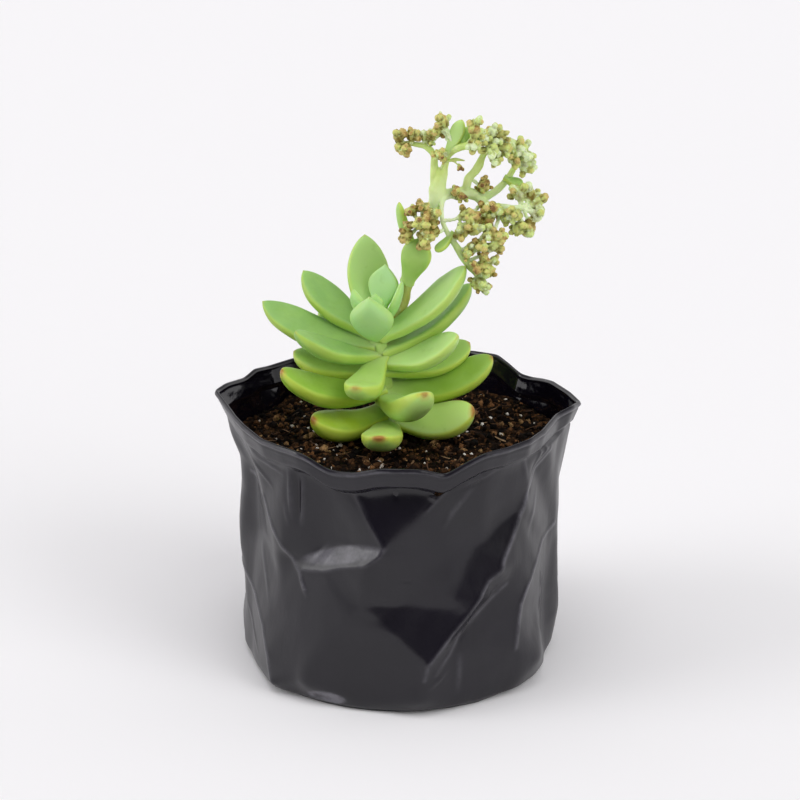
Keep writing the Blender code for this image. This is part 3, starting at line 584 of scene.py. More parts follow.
SOIL_RINGS = 120
SOIL_COLUMNS = 360
SOIL_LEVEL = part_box("potting_soil")[1].z - 0.3 * MM
SOIL_GAP = 1.4 * MM        # from the soil's edge to the film's outer face
CRUMBS = 2600
CRUMB_SIZES = (0.25, 1.7, 0.45)         # smallest, largest and usual radius, in mm
PERLITE_GRAINS = 110
PERLITE_SIZES = (0.22, 0.85, 0.34)
BARK_BITS = 130
BARK_LENGTHS = (1.0, 4.5, 1.6)          # the same, of half a bit's length
BARK_WIDTHS = (0.16, 0.5)


def soil_level(x, y):
    """Height of the loose soil at a place: soft heaps, then lumps, then grit."""
    place = Vector((x, y, 0.0))
    heaps = noise.noise(place * 45) * 1.1
    lumps = abs(noise.noise(place * 190 + Vector((3, 5, 1)))) * 1.7
    grit = noise.noise(place * 520) * 0.55 + noise.noise(place * 1100) * 0.3
    return SOIL_LEVEL + (heaps + lumps + grit) * MM


def soil_reach(bearing, level=SOIL_LEVEL):
    """How far the soil goes at a bearing and a height before it meets the film."""
    column = round(bearing / 360 * BAG_COLUMNS) % BAG_COLUMNS
    return float(np.interp(level, heights[:, column], (radii + relief)[:, column])) - SOIL_GAP


soil_rings = []
soil_bearings = [360 * column / SOIL_COLUMNS for column in range(SOIL_COLUMNS)]
soil_directions = [outward(bearing) for bearing in soil_bearings]
reaches = [soil_reach(bearing) for bearing in soil_bearings]
for step in range(1, SOIL_RINGS + 1):
    share = 1 - (1 - step / SOIL_RINGS) ** 1.15
    ring = []
    for direction, reach in zip(soil_directions, reaches):
        spot = direction * reach * share
        ring.append((spot.x, spot.y, soil_level(spot.x, spot.y)))
    soil_rings.append(ring)
for level in range(69, 1, -2):
    soil_rings.append([
        (*(direction * soil_reach(bearing, level * MM)).xy, level * MM)
        for bearing, direction in zip(soil_bearings, soil_directions)
    ])
soil_mesh = ring_mesh("soil_bed", soil_rings[::-1], (0, 0, 3 * MM), (0, 0, soil_level(0, 0)))

soil, tree, shader = new_material("potting_mix", 0.9, 0.08)
clods = object_noise(tree, 330, 6, 0.65)
fibre = object_noise(tree, 900, 3, 0.6, (1, 0.3, 1))
earth = ramp(clods, (0.40, (0.001, 0.0006, 0.0004)), (0.53, (0.012, 0.006, 0.003)),
             (0.66, (0.09, 0.04, 0.016)))
earth = mix(ramp(fibre, (0.6, 0.0), (0.72, 0.7)), earth, (0.22, 0.10, 0.035))
feed(shader, "Base Color", earth)
bump(shader, clods, 1.2 * MM)
add_piece("soil_bed", soil_mesh, soil, "soil", "potting_soil")


def ball(detail):
    """Points and faces of a ball of radius 1."""
    bm = bmesh.new()
    bmesh.ops.create_icosphere(bm, subdivisions=detail, radius=1.0)
    points = np.array([tuple(v.co) for v in bm.verts])
    faces = np.array([[v.index for v in face.verts] for face in bm.faces])
    bm.free()
    return points, faces


def any_turn(draw):
    """A random rotation."""
    axis = Vector((draw.gauss(0, 1), draw.gauss(0, 1), draw.gauss(0, 1)))
    return np.array(Matrix.Rotation(draw.uniform(0, 2 * math.pi), 3, axis.normalized()))


def joined_mesh(name, parts):
    """One mesh from many (points, faces, {attribute: values for each point}) shapes."""
    points = np.vstack([part[0] for part in parts])
    starts = np.cumsum([0] + [len(part[0]) for part in parts[:-1]])
    faces = [tuple(face + start) for part, start in zip(parts, starts) for face in part[1]]
    mesh = bpy.data.meshes.new(name)
    mesh.from_pydata(points.tolist(), [], faces)
    mesh.shade_smooth()
    for key in parts[0][2]:
        note_points(mesh, key, np.concatenate([part[2][key] for part in parts]))
    return mesh


def strewn(draw):
    """A random place on the soil."""
    bearing = draw.uniform(0, 360)
    far = soil_reach(bearing) * math.sqrt(draw.random()) * 0.97
    spot = outward(bearing) * far
    return spot.x, spot.y, soil_level(spot.x, spot.y)


def lump(draw, shape, size, uneven):
    """An uneven pebble of about that size, lying anywhere on the soil."""
    points, faces = shape
    seed = Vector((draw.uniform(0, 50), draw.uniform(0, 50), draw.uniform(0, 50)))
    swell = np.array([1 + uneven * noise.noise(Vector(p) * 1.3 + seed) for p in points])
    stretch = np.array([draw.uniform(0.7, 1.3), draw.uniform(0.7, 1.2), draw.uniform(0.6, 1.0)])
    turned = (points * swell[:, None] * stretch * size) @ any_turn(draw).T
    return turned + np.array(strewn(draw)), faces


draw = random.Random(17)
crumb_ball, small_ball = ball(1), ball(2)
crumb_parts = []
for _ in range(CRUMBS):
    points, faces = lump(draw, crumb_ball, draw.triangular(*CRUMB_SIZES) * MM, 0.9)
    crumb_parts.append((points, faces, {"tone": np.full(len(points), draw.random())}))
crumb_mesh = joined_mesh("soil_crumbs", crumb_parts)
crumb, tree, shader = new_material("soil_crumb", 0.85, 0.12)
tone = point_value(tree, "tone")
earth = ramp(tone, (0.0, (0.001, 0.0006, 0.0005)), (0.45, (0.010, 0.005, 0.003)),
             (0.74, (0.07, 0.032, 0.013)), (0.92, (0.22, 0.10, 0.04)), (1.0, (0.46, 0.29, 0.13)))
pits = object_noise(tree, 1400, 4, 0.6)
earth = mix(ramp(pits, (0.35, 0.8), (0.6, 0.0)), earth, (0.002, 0.001, 0.0007))
feed(shader, "Base Color", earth)
bump(shader, pits, 0.4 * MM)
add_piece("soil_crumbs", crumb_mesh, crumb, "soil")

perlite_parts = []
for _ in range(PERLITE_GRAINS):
    points, faces = lump(draw, small_ball, draw.triangular(*PERLITE_SIZES) * MM, 0.8)
    perlite_parts.append((points + np.array([0, 0, 0.3 * MM]), faces, {}))
perlite_mesh = joined_mesh("perlite_grains", perlite_parts)
perlite, tree, shader = new_material("perlite", 0.8, 0.4)
pores = object_noise(tree, 2600, 3, 0.6)
stain = object_noise(tree, 500, 3, 0.6)
chalk = ramp(stain, (0.4, (0.86, 0.83, 0.78)), (0.7, (0.40, 0.30, 0.21)))
feed(shader, "Base Color", chalk)
bump(shader, pores, 0.2 * MM)
add_piece("perlite_grains", perlite_mesh, perlite, "soil")

bark_parts = []
for _ in range(BARK_BITS):
    points, faces = small_ball
    long, wide = draw.triangular(*BARK_LENGTHS) * MM, draw.uniform(*BARK_WIDTHS) * MM
    bent = points * np.array([long, wide, wide * 0.6])
    bent[:, 1] += 0.16 * long * (points[:, 0] ** 2 - 0.5)
    level = any_turn(draw)
    level[2] *= 0.35
    place = np.array(strewn(draw)) + np.array([0, 0, 0.5 * MM])
    bark_parts.append((bent @ level.T + place, faces, {"tone": np.full(len(points), draw.random())}))
bark_mesh = joined_mesh("bark_bits", bark_parts)
bark, tree, shader = new_material("bark", 0.75, 0.3)
ribs = object_noise(tree, 1200, 3, 0.6, (1, 0.4, 1))
husk = ramp(point_value(tree, "tone"), (0.0, (0.05, 0.022, 0.012)), (0.7, (0.16, 0.075, 0.035)),
            (1.0, (0.42, 0.27, 0.15)))
husk = mix(ramp(ribs, (0.35, 0.6), (0.6, 0.0)), husk, (0.02, 0.009, 0.005))
feed(shader, "Base Color", husk)
bump(shader, ribs, 0.3 * MM)
add_piece("bark_bits", bark_mesh, bark, "soil")

# ---------------------------------------------------------------------------------------------------
# The stem. One short fleshy stem, rooted in the soil, green and a little knobbly where leaves have
# dropped from it. It carries every leaf and goes on into the flower stalk.
# ---------------------------------------------------------------------------------------------------

TUBE_SIDES = 24
TUBE_STEPS = 6             # stretches of the fine tube for each stretch of the route
TUBE_CORNERS = 8           # round the CAD tube
STEM_SWELL = 1.18          # how much fuller the living stem is than its CAD tube


def welded(node):
    """A CAD piece's mesh with its split corners joined again."""
    bm = bmesh.new()
    bm.from_mesh(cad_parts[node].data)
    bmesh.ops.remove_doubles(bm, verts=bm.verts, dist=2e-6)
    bm.normal_update()
    return bm


def rings_from(first, size):
    """Rings of size points, each joined to the one before it, beginning next to first."""
    ring, seen, rings = set(first), set(first), []
    while True:
        ring = {edge.other_vert(v) for v in ring for edge in v.link_edges} - seen
        if len(ring) != size:
            return rings
        seen |= ring
        rings.append(np.array(sorted(tuple(v.co) for v in ring)))


def stem_route():
    """Middle points and radii up the CAD stem, from its foot."""
    bm = welded("stem")
    foot = min(v.co.z for v in bm.verts)
    ring = [v for v in bm.verts if v.co.z < foot + 0.01 * MM]
    rings = [np.array([tuple(v.co) for v in ring])] + rings_from(ring, TUBE_CORNERS)
    bm.free()
    middles = np.array([found.mean(0) for found in rings])
    spans = [np.linalg.norm(found - middle, axis=1).mean() for found, middle in zip(rings, middles)]
    return middles, np.array(spans)


def smooth_path(points, steps):
    """A smooth curve through the points, with so many stretches between each pair."""
    points = np.asarray(points, float)
    if points.ndim == 1:
        points = points[:, None]
    points = np.vstack([2 * points[0] - points[1], points, 2 * points[-1] - points[-2]])
    path = []
    for a, b, c, d in zip(points, points[1:], points[2:], points[3:]):
        for step in range(steps):
            t = step / steps
            path.append((2 * b + (c - a) * t + (2 * a - 5 * b + 4 * c - d) * t ** 2
                         + (3 * b - a - 3 * c + d) * t ** 3) / 2)
    path.append(points[-2])
    return np.array(path)


def tube_rings(line, spans, sides):
    """Rings of points round a line."""
    ahead = np.gradient(line, axis=0)
    ahead /= np.linalg.norm(ahead, axis=1)[:, None]
    side = np.cross(ahead[0], (0.3, 1.0, 0.2))
    angles = np.linspace(0, 2 * math.pi, sides, endpoint=False)
    rings = []
    for middle, way, span in zip(line, ahead, spans):
        side = side - way * side.dot(way)
        side /= np.linalg.norm(side)
        over = np.cross(way, side)
        rings.append(middle + (np.outer(np.cos(angles), side) + np.outer(np.sin(angles), over)) * span)
    return rings


def fleshy_rings(points, spans, knobs, sides=TUBE_SIDES):
    """Rings of a fleshy tube through some points, a little uneven all over."""
    path = smooth_path(points, TUBE_STEPS)
    widths = smooth_path(spans, TUBE_STEPS)[:, 0]
    rings = []
    for middle, ring in zip(path, tube_rings(path, widths, sides)):
        swell = [1 + knobs * noise.noise(Vector(p) * 420) for p in ring]
        rings.append(middle + (ring - middle) * np.array(swell)[:, None])
    return rings


stem_line, stem_spans = stem_route()
stem_rings = fleshy_rings(stem_line, stem_spans * STEM_SWELL, 0.3)
stem_mesh = ring_mesh("fleshy_stem", stem_rings, stem_line[0], stem_line[-1])
shares = np.repeat(np.linspace(0, 1, len(stem_rings)), TUBE_SIDES)
note_points(stem_mesh, "share", np.concatenate([shares, [0, 1]]))

def let_light_in(shader, amount, reach, depth):
    """Let light a little way into the flesh, further in some colours than in others."""
    shader.inputs["Subsurface Weight"].default_value = amount
    shader.inputs["Subsurface Radius"].default_value = reach
    shader.inputs["Subsurface Scale"].default_value = depth


stem, tree, shader = new_material("stem_skin", 0.45)
share = point_value(tree, "share")
skin = ramp(share, (0.2, (0.30, 0.38, 0.08)), (0.45, (0.42, 0.58, 0.14)), (1.0, (0.46, 0.66, 0.24)))
marks = object_noise(tree, 380, 4, 0.6)
skin = mix(ramp(marks, (0.62, 0.0), (0.8, 0.45)), skin, (0.28, 0.24, 0.06))
feed(shader, "Base Color", skin)
let_light_in(shader, 0.3, (0.6, 1.0, 0.3), 3 * MM)
bump(shader, marks, 0.2 * MM)
add_piece("fleshy_stem", stem_mesh, stem, "stem", "stem")

# ---------------------------------------------------------------------------------------------------
# The leaves. Fat, waxy leaves that store water, flat or a little hollow above and keeled below, with
# a short red-brown point. Each grows straight from the stem. The oldest are at the bottom.
# ---------------------------------------------------------------------------------------------------

LEAF_SIDES = 36
LEAF_CORNERS = 8           # round the CAD leaf
KEEL_SHARE = 0.82          # how much of its thickness lies below its widest line
LEAF_RISE = 0.33           # how far a leaf swells above that line, by its thickness
LEAF_KEEL = 0.76           # the same below it
LEAF_UNEVEN = 0.4 * MM
LEAF_SHARES = (0.955, 0.86, 0.7, 0.5, 0.3)      # where the CAD leaf's rings lie, from its tip
LEAF_OUTLINE = (           # (share of the length, share of the width, share of the thickness)
    (0.0, 0.55, 0.78), (0.1, 0.54, 0.78), (0.28, 0.70, 0.90), (0.46, 0.91, 1.0), (0.62, 1.0, 0.98),
    (0.75, 0.95, 0.90), (0.86, 0.76, 0.76), (0.93, 0.53, 0.56), (0.975, 0.29, 0.33), (1.0, 0.07, 0.10),
)
LEAF_AGES = {"heart": 0.0, "top": 0.35, "mid": 0.7, "low": 1.0}
LEAF_HOLLOWS = {"heart": 0.16, "top": 0.20, "mid": 0.12, "low": 0.02}
LEAF_POINTS = {"heart": 2.0, "top": 1.1, "mid": 0.82, "low": 0.75}     # more is a sharper tip
LEAF_BLOOM_AND_LIGHT = {             # how pale each is, partly with bloom and partly as painted light and shade for how brightly it is lit; the others are half way
    "leaf_top_9": 0.85, "leaf_top_7": 0.8, "leaf_top_1": 1.0, "leaf_low_2": 0.85, "leaf_mid_1": 0.75,
    "leaf_low_1": 0.55, "leaf_mid_5": 0.6, "leaf_mid_3": 0.1, "leaf_top_8": 0.3, "leaf_top_5": 0.1,
    "leaf_top_6": 0.0, "leaf_top_2": 0.0, "leaf_mid_2": 0.0, "leaf_low_3": 0.0, "leaf_mid_4": 0.2,
    "bract_top": 0.95, "bract_clasping": 0.4,
}
BASE_TUCK = 1.2 * MM       # how far a leaf's base goes on into the stem


def measure_leaf(node):
    """Base, middle and tip of a CAD leaf's bent spine, its side direction, width and thickness."""
    bm = welded(node)
    best = []
    for vert in bm.verts:
        if len(vert.link_edges) == LEAF_CORNERS:
            rings = rings_from({vert}, LEAF_CORNERS)
            if len(rings) > len(best):
                best, tip = rings, np.array(tuple(vert.co))
    bm.free()
    best = best[:len(LEAF_SHARES)]
    edges = []
    for ring in best:
        apart = np.linalg.norm(ring[:, None] - ring[None], axis=2)
        edges.append(ring[list(np.unravel_index(apart.argmax(), apart.shape))])
    shares = np.array(LEAF_SHARES[:len(best)])
    middles = np.array([pair.mean(0) for pair in edges])
    known = np.column_stack([(1 - shares) ** 2, 2 * shares * (1 - shares)])
    base, middle = np.linalg.lstsq(known, middles - np.outer(shares ** 2, tip), rcond=None)[0]
    widest = max(edges, key=lambda pair: np.linalg.norm(pair[1] - pair[0]))
    side = widest[1] - widest[0]
    width = np.linalg.norm(side)
    side /= width
    deepest = []
    for ring, pair in zip(best, edges):
        depth = (ring - pair.mean(0)) - np.outer((ring - pair.mean(0)).dot(side), side)
        deepest.append(np.linalg.norm(depth, axis=1).max() / KEEL_SHARE)
    return base, middle, tip, side, width, max(deepest)


def leaf_mesh(node, age, hollow, sharp, draw):
    """A fine leaf along the CAD leaf's spine, with its points' places on the leaf noted."""
    base, middle, tip, side, width, thickness = measure_leaf(node)
    base = base - (middle - base) / np.linalg.norm(middle - base) * BASE_TUCK
    if np.cross(tip - base, side)[2] < 0:
        side = -side
    outline = smooth_path(LEAF_OUTLINE, 5)
    angles = np.linspace(0, 2 * math.pi, LEAF_SIDES, endpoint=False)
    across, through = np.cos(angles), np.sin(angles)
    rings, notes = [], []
    seed = Vector((draw.uniform(0, 9), draw.uniform(0, 9), draw.uniform(0, 9)))
    for share, wide, thick in outline:
        spot = base * (1 - share) ** 2 + 2 * middle * share * (1 - share) + tip * share ** 2
        way = (middle - base) * (1 - share) + (tip - middle) * share
        way /= np.linalg.norm(way)
        level = side - way * side.dot(way)
        level /= np.linalg.norm(level)
        above = np.cross(way, level)
        dip = hollow * (1 - across ** 2) ** 1.6 * math.sin(math.pi * min(share * 1.06, 1.0))
        upper = LEAF_RISE * np.maximum(through, 0) ** 0.75 - dip
        lower = -LEAF_KEEL * np.maximum(-through, 0) ** 0.85
        depth = np.where(through >= 0, upper, lower) * thick * thickness
        reach = np.sign(across) * np.abs(across) ** 0.92 * wide ** sharp * width / 2
        ring = spot + np.outer(reach, level) + np.outer(depth, above)
        swell = np.array([noise.noise(Vector(p) * 130 + seed) for p in ring]) * LEAF_UNEVEN
        ring += np.outer(swell, above)
        rings.append(ring)
        notes.append(np.column_stack([np.full(LEAF_SIDES, share), np.abs(across), through]))
    point = tip + (rings[-1].mean(0) - rings[-4].mean(0)) * 0.5
    mesh = ring_mesh(node + "_flesh", rings, rings[0].mean(0), point)
    notes = np.vstack(notes + [[[0, 0, 0]], [[1, 0, 0]]])
    for column, key in enumerate(("share", "margin", "upper")):
        note_points(mesh, key, notes[:, column])
    # each leaf's paleness, partly bloom and partly painted light and shade
    pale_tint = LEAF_BLOOM_AND_LIGHT.get(node, 0.5) + draw.uniform(-0.08, 0.08)
    note_points(mesh, "age", np.full(len(notes), age))
    note_points(mesh, "pale_tint", np.full(len(notes), pale_tint))
    return mesh


leaf_skin, tree, shader = new_material("leaf_skin", 0.42, 0.45)
share, margin, upper, age, pale = [
    point_value(tree, key) for key in ("share", "margin", "upper", "age", "pale_tint")
]
body = ramp(age, (0.0, (0.33, 0.62, 0.24)), (0.35, (0.22, 0.42, 0.08)), (0.7, (0.27, 0.46, 0.03)),
            (1.0, (0.31, 0.46, 0.012)))
pale_tint = ramp(age, (0.0, (0.38, 0.68, 0.33)), (0.35, (0.27, 0.49, 0.14)), (0.7, (0.32, 0.53, 0.07)),
             (1.0, (0.38, 0.54, 0.04)))
body = mix(ramp(upper, (0.0, 0.0), (0.35, 0.9)), body, pale_tint)
# per-leaf paleness: partly bloom, partly painted light and shade that stands in for how brightly each
# leaf is lit
body = mix(times(pale, 0.7), body, (0.62, 0.86, 0.32))
clouds = object_noise(tree, 95, 4, 0.55)
body = mix(ramp(clouds, (0.42, 0.0), (0.68, 0.3)), body, (0.50, 0.74, 0.20))
patches = plus(object_noise(tree, 210, 4, 0.6), times(pale, -0.12))
body = mix(ramp(patches, (0.52, 0.0), (0.72, 0.35)), body, (0.24, 0.44, 0.06))
body = mix(ramp(share, (0.0, 0.6), (0.32, 0.0)), body, (0.54, 0.70, 0.26))
# A paler yellow-green along the margin, partly the leaf's own margin colour and partly a painted
# highlight along the edge.
edge = times(ramp(margin, (0.84, 0.0), (1.0, 0.75)), plus(age, 0.25))
body = mix(edge, body, (0.58, 0.70, 0.09))
spread = plus(share, times(object_noise(tree, 260, 3, 0.5), 0.04))
spread = plus(spread, plus(times(age, 0.04), -0.5))
body = mix(ramp(spread, (0.515, 0.0), (0.556, 0.6)), body, (0.58, 0.36, 0.06))
body = mix(ramp(spread, (0.54, 0.0), (0.556, 0.85)), body, (0.38, 0.13, 0.03))
feed(shader, "Base Color", body)
wax = object_noise(tree, 700, 4, 0.6)
feed(shader, "Roughness", ramp(wax, (0.3, 0.34), (0.7, 0.5)))
let_light_in(shader, 0.35, (0.7, 1.0, 0.25), 4 * MM)
bump(shader, wax, 0.06 * MM)

draw = random.Random(4)
for node in sorted(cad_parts):
    if node.startswith("leaf_"):
        kind = node.split("_")[1]
        mesh = leaf_mesh(node, LEAF_AGES[kind], LEAF_HOLLOWS[kind], LEAF_POINTS[kind], draw)
        add_piece(node + "_flesh", mesh, leaf_skin, "leaf", node)

# ---------------------------------------------------------------------------------------------------
# The flower stalk and its branches. One bent stalk from beside the growing point, yellow-brown and
# firm below, soft and pale green above, which forks again and again. All of it is one growth.
# ---------------------------------------------------------------------------------------------------

STALK_ROUTES = {           # the points that each passes through and its radius there, in mm
    "flower_stalk": (
        ((-6.2, 3.0, 101), (-3.4, 6.6, 105.2), (-1.2, 7.8, 109.2), (1.2, 7.6, 114.2),
         (2.6, 6.6, 121.2), (5.4, 6, 130.5), (8.6, 6, 138), (10.7, 6, 144.2), (11.4, 6, 150.5),
         (12.3, 6, 157)),
        (2.0, 1.9, 1.8, 1.8, 1.8, 1.8, 1.9, 2.3, 2.6, 0.6),
    ),
    "branch_top_left": (
        ((10.0, 6, 149.6), (10.2, 6, 155), (10.4, 6.8, 160.2), (8.2, 7.6, 163), (5.4, 8, 163.6),
         (2.4, 8, 164.2), (0.6, 7.8, 164.0)),
        (1.0, 1.1, 1.1, 1.0, 0.8, 0.7, 0.5),
    ),
    "branch_top_right": (
        ((12.8, 6, 149.6), (13.3, 6, 155), (14, 5.8, 159.4), (15.2, 5, 162), (17.6, 3.6, 163.8),
         (20.6, 2, 165), (22, 0.8, 168)),
        (1.1, 1.2, 1.1, 1.2, 1.3, 1.1, 0.8),
    ),
    "branch_right": (
        ((11.0, 6, 147.5), (15.8, 7, 148.6), (20.8, 8, 148.5), (25, 9, 147), (28.4, 10, 147.8),
         (33, 10.5, 152.4), (35.6, 9.6, 157.6)),
        (1.7, 1.7, 1.8, 1.6, 1.2, 1.1, 0.8),
    ),
    "branch_rising": (
        ((19.8, 7.8, 148.6), (21, 7, 153.2), (23.6, 6, 157), (25.4, 5, 161.4), (27.6, 4.4, 164.4)),
        (1.4, 1.3, 1.3, 1.0, 0.8),
    ),
    "branch_outer": (
        ((22.4, 8.4, 148), (26, 6.6, 145.6), (29.8, 5.4, 144.6), (33.6, 4.4, 144.6),
         (37.6, 3.6, 144.8)),
        (1.4, 1.3, 1.3, 1.2, 1.0),
    ),
    "branch_drooping": (
        ((15.6, 6, 148.4), (13.4, 4.2, 147.6), (12.6, 2.4, 144.4), (13.4, 1, 140), (16, 0.2, 135.6),
         (18.6, 0, 131.6), (21.4, 0, 127.8), (23.8, -0.4, 124.6)),
        (0.8, 0.7, 0.7, 0.75, 0.95, 1.3, 1.4, 1.0),
    ),
    "branch_left": (((8, 6, 136.6), (7.2, 3.4, 138.8), (6.6, 0.8, 141)), (1.2, 1.1, 1.0)),
}
STALK_GRAIN = 0.26 * MM    # how finely the joined skin is meshed
STALK_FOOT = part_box("flower_stalk")[0].z
HEAD_TOP = cad_box[1].z


def tube_part(rings, notes):
    """A closed tube through rings, as a part for a joined mesh, with the same notes on every point."""
    sides = len(rings[0])
    points = np.vstack(rings)
    faces = []
    for start in range(0, sides * (len(rings) - 1), sides):
        for side in range(sides):
            after = (side + 1) % sides
            faces.append(start + np.array((side, after, after + sides, side + sides)))
    faces += [np.arange(sides - 1, -1, -1), np.arange(sides) + sides * (len(rings) - 1)]
    return points, faces, {key: np.full(len(points), value) for key, value in notes.items()}


def grown_together(name, parts, grain, passes):
    """Parts joined under one soft skin, which takes each point's notes from the parts below it."""
    rough = joined_mesh(name + "_parts", parts)
    body = bpy.data.objects.new(name + "_parts", rough)
    bpy.context.scene.collection.objects.link(body)
    skin = body.modifiers.new("skin", "REMESH")
    skin.mode = "VOXEL"
    skin.voxel_size = grain
    soft = body.modifiers.new("soft", "SMOOTH")
    soft.iterations = passes
    mesh = bpy.data.meshes.new_from_object(body.evaluated_get(bpy.context.evaluated_depsgraph_get()))
    bpy.data.objects.remove(body)
    bpy.data.meshes.remove(rough)
    mesh.name = name
    mesh.shade_smooth()
    points = np.vstack([part[0] for part in parts])
    near = kdtree.KDTree(len(points))
    for number, point in enumerate(points):
        near.insert(point, number)
    near.balance()
    nearest = [near.find(v.co)[1] for v in mesh.vertices]
    for key in parts[0][2]:
        note_points(mesh, key, np.concatenate([part[2][key] for part in parts])[nearest])
    return mesh


stalk_parts, stalk_lines = [], {}
for node, (points, spans) in STALK_ROUTES.items():
    points, spans = np.array(points) * MM, np.array(spans) * MM
    stalk_lines[node] = smooth_path(points, 6)
    stalk_parts.append(tube_part(fleshy_rings(points, spans, 0.2, 16), {}))
stalk_mesh = grown_together("flower_stalk_flesh", stalk_parts, STALK_GRAIN, 3)
note_points(stalk_mesh, "height",
            [(v.co.z - STALK_FOOT) / (HEAD_TOP - STALK_FOOT) for v in stalk_mesh.vertices])

stalk_skin, tree, shader = new_material("stalk_skin", 0.42, 0.45)
height = point_value(tree, "height")
skin = ramp(height, (0.0, (0.56, 0.50, 0.12)), (0.25, (0.56, 0.56, 0.16)), (0.4, (0.52, 0.68, 0.24)),
            (0.62, (0.76, 0.90, 0.54)), (0.75, (0.66, 0.80, 0.25)), (1.0, (0.54, 0.74, 0.20)))
veins = object_noise(tree, 480, 4, 0.6, (1, 1, 0.3))
skin = mix(ramp(veins, (0.45, 0.0), (0.75, 0.6)), skin, (0.74, 0.88, 0.42))
dapple = object_noise(tree, 160, 3, 0.6)
skin = mix(ramp(dapple, (0.5, 0.0), (0.7, 0.4)), skin, (0.46, 0.58, 0.12))
feed(shader, "Base Color", skin)
let_light_in(shader, 0.3, (0.7, 1.0, 0.3), 2 * MM)
bump(shader, veins, 0.12 * MM)
add_piece("flower_stalk_flesh", stalk_mesh, stalk_skin, "stalk", *STALK_ROUTES)

# ---------------------------------------------------------------------------------------------------
# The bracts. Small fleshy leaves on the flower stalk, one below each fork. The largest clasps the
# stalk like a spoon. They are thinner and paler than the true leaves.
# ---------------------------------------------------------------------------------------------------

BRACT_AGE = 0.55
BRACT_HOLLOW = 0.1
BRACT_POINT = 1.15

draw = random.Random(12)
for node in sorted(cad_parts):
    if node.startswith("bract_"):
        mesh = leaf_mesh(node, BRACT_AGE, BRACT_HOLLOW, BRACT_POINT, draw)
        add_piece(node + "_flesh", mesh, leaf_skin, "leaf", node)

# ---------------------------------------------------------------------------------------------------
# The buds. Crowded bunches of fat, blunt flower buds that have grown into one another, each with five
# fleshy sepals. They are pale green at the foot, and tan, pink or brown where their tops dry out.
# ---------------------------------------------------------------------------------------------------

BUNCHES = {                # how ripe each bunch is, and each big bud's middle and radius, in mm
    "buds_top_left": (
        0.65, (-0.3, 8, 165.4, 1.6), (0.3, 8, 163.2, 1.8), (1.8, 7, 163.1, 1.6), (3.6, 8, 166, 1.6),
    ),
    "buds_top_middle": (
        0.4, (7.4, 7.6, 166.2, 1.4), (9.7, 7.6, 166.4, 1.6), (11.3, 6.2, 167.9, 1.6),
        (9.4, 7.6, 164.4, 1.2),
    ),
    "buds_top": (0.55, (12.4, 5, 173, 0.9), (13.3, 4.4, 171.2, 1.7), (12.2, 5.2, 169.9, 1.0)),
    "buds_top_right": (0.4, (22.5, 0, 171.5, 1.7), (22.7, 0, 169, 1.8), (22.2, 0.4, 166, 1.9)),
    "buds_crown": (
        0.35, (26.2, 4, 167, 1.8), (28, 4, 168.3, 1.7), (29.9, 4, 167.2, 1.9),
        (27.5, 2.6, 163.8, 2.2), (30.9, 5, 163.3, 2.0), (28.6, 3.4, 160.4, 1.6),
    ),
    "buds_outer": (
        0.15, (34.6, 8, 162.8, 1.9), (37, 8, 161.8, 2.0), (38.2, 8.4, 159.4, 1.9),
        (38.1, 9, 156.7, 2.0), (34.6, 7.4, 159.1, 1.8),
    ),
    "buds_inner": (0.85, (25, 7.4, 151.6, 1.3), (26, 7.4, 150.2, 1.4), (24.6, 8.2, 149.4, 1.0)),
    "buds_fork": (0.55, (11.8, 3.8, 161.4, 1.3), (13, 3.8, 162, 1.3), (13.4, 4.6, 160, 0.9)),
    "buds_elbow": (0.6, (16.6, 4.6, 149.4, 1.3), (18.6, 4.8, 148.3, 1.4), (17.4, 5.6, 147.8, 1.0)),
    "buds_left": (
        0.7, (3.9, 0.6, 144.4, 1.3), (6.4, 0, 146.3, 1.5), (9.7, 0.6, 143.7, 2.0),
        (2.4, -2, 138.2, 1.8), (6, -3, 142, 2.0), (7.3, -3.6, 137.6, 1.9), (10.4, -1, 138.4, 1.6),
        (3.4, -1, 140.9, 1.3), (9.6, 0, 141, 1.5), (7.2, -2, 139.8, 1.4), (7.3, 1, 144.7, 1.3),
    ),
    "buds_right_low": (
        0.5, (26.2, 3.4, 144, 1.7), (27.4, 3.4, 142, 1.8), (29.5, 2.6, 145, 1.8),
        (32, 3.2, 142.6, 1.7),
    ),
    "buds_right": (
        0.3, (36.4, 5, 148.5, 2.0), (39.6, 6, 147.9, 2.0), (41.3, 5, 146, 2.0), (41.2, 3, 142.9, 2.0),
        (39.4, 1.4, 140.4, 2.0), (36.4, 1.4, 139.6, 2.0), (35.6, 0.8, 143.7, 1.9),
    ),
    "buds_curve_upper": (
        0.5, (19.6, 0.6, 143.4, 1.8), (21.6, 0.6, 143.8, 1.7), (22, -1, 139.6, 2.2),
        (18.8, -0.6, 138.2, 1.8), (17, -0.4, 137.4, 1.2),
    ),
    "buds_curve_middle": (
        0.5, (26.4, -2, 138, 1.8), (29.2, -2.6, 138, 1.8), (24.6, -2, 134.2, 1.7),
        (28.5, -2.6, 134.6, 1.8), (21.2, -1, 133.6, 1.4), (20.2, -2, 131.8, 1.3),
    ),
    "buds_curve_low": (
        0.5, (28.2, -2, 129.8, 1.2), (24.8, -2, 127.4, 2.0), (27.2, -2, 126, 1.4),
        (24.7, -2, 122.8, 1.9), (22.8, -1.4, 123, 1.2), (25.4, -2, 130.6, 1.4),
        (22.6, -2.4, 128.6, 1.3),
    ),
}
BUD_GRAIN = 0.185 * MM     # how finely a bunch is meshed
BUD_UNEVEN = 0.22 * MM     # how lumpy its skin is
SMALL_BUDS = 6             # beside each big bud
BUD_SWELL = 1.12           # how far the buds have grown past their CAD outlines


def drift(draw, spread):
    """A random step in any direction."""
    return np.array([draw.gauss(0, spread) for _ in range(3)])


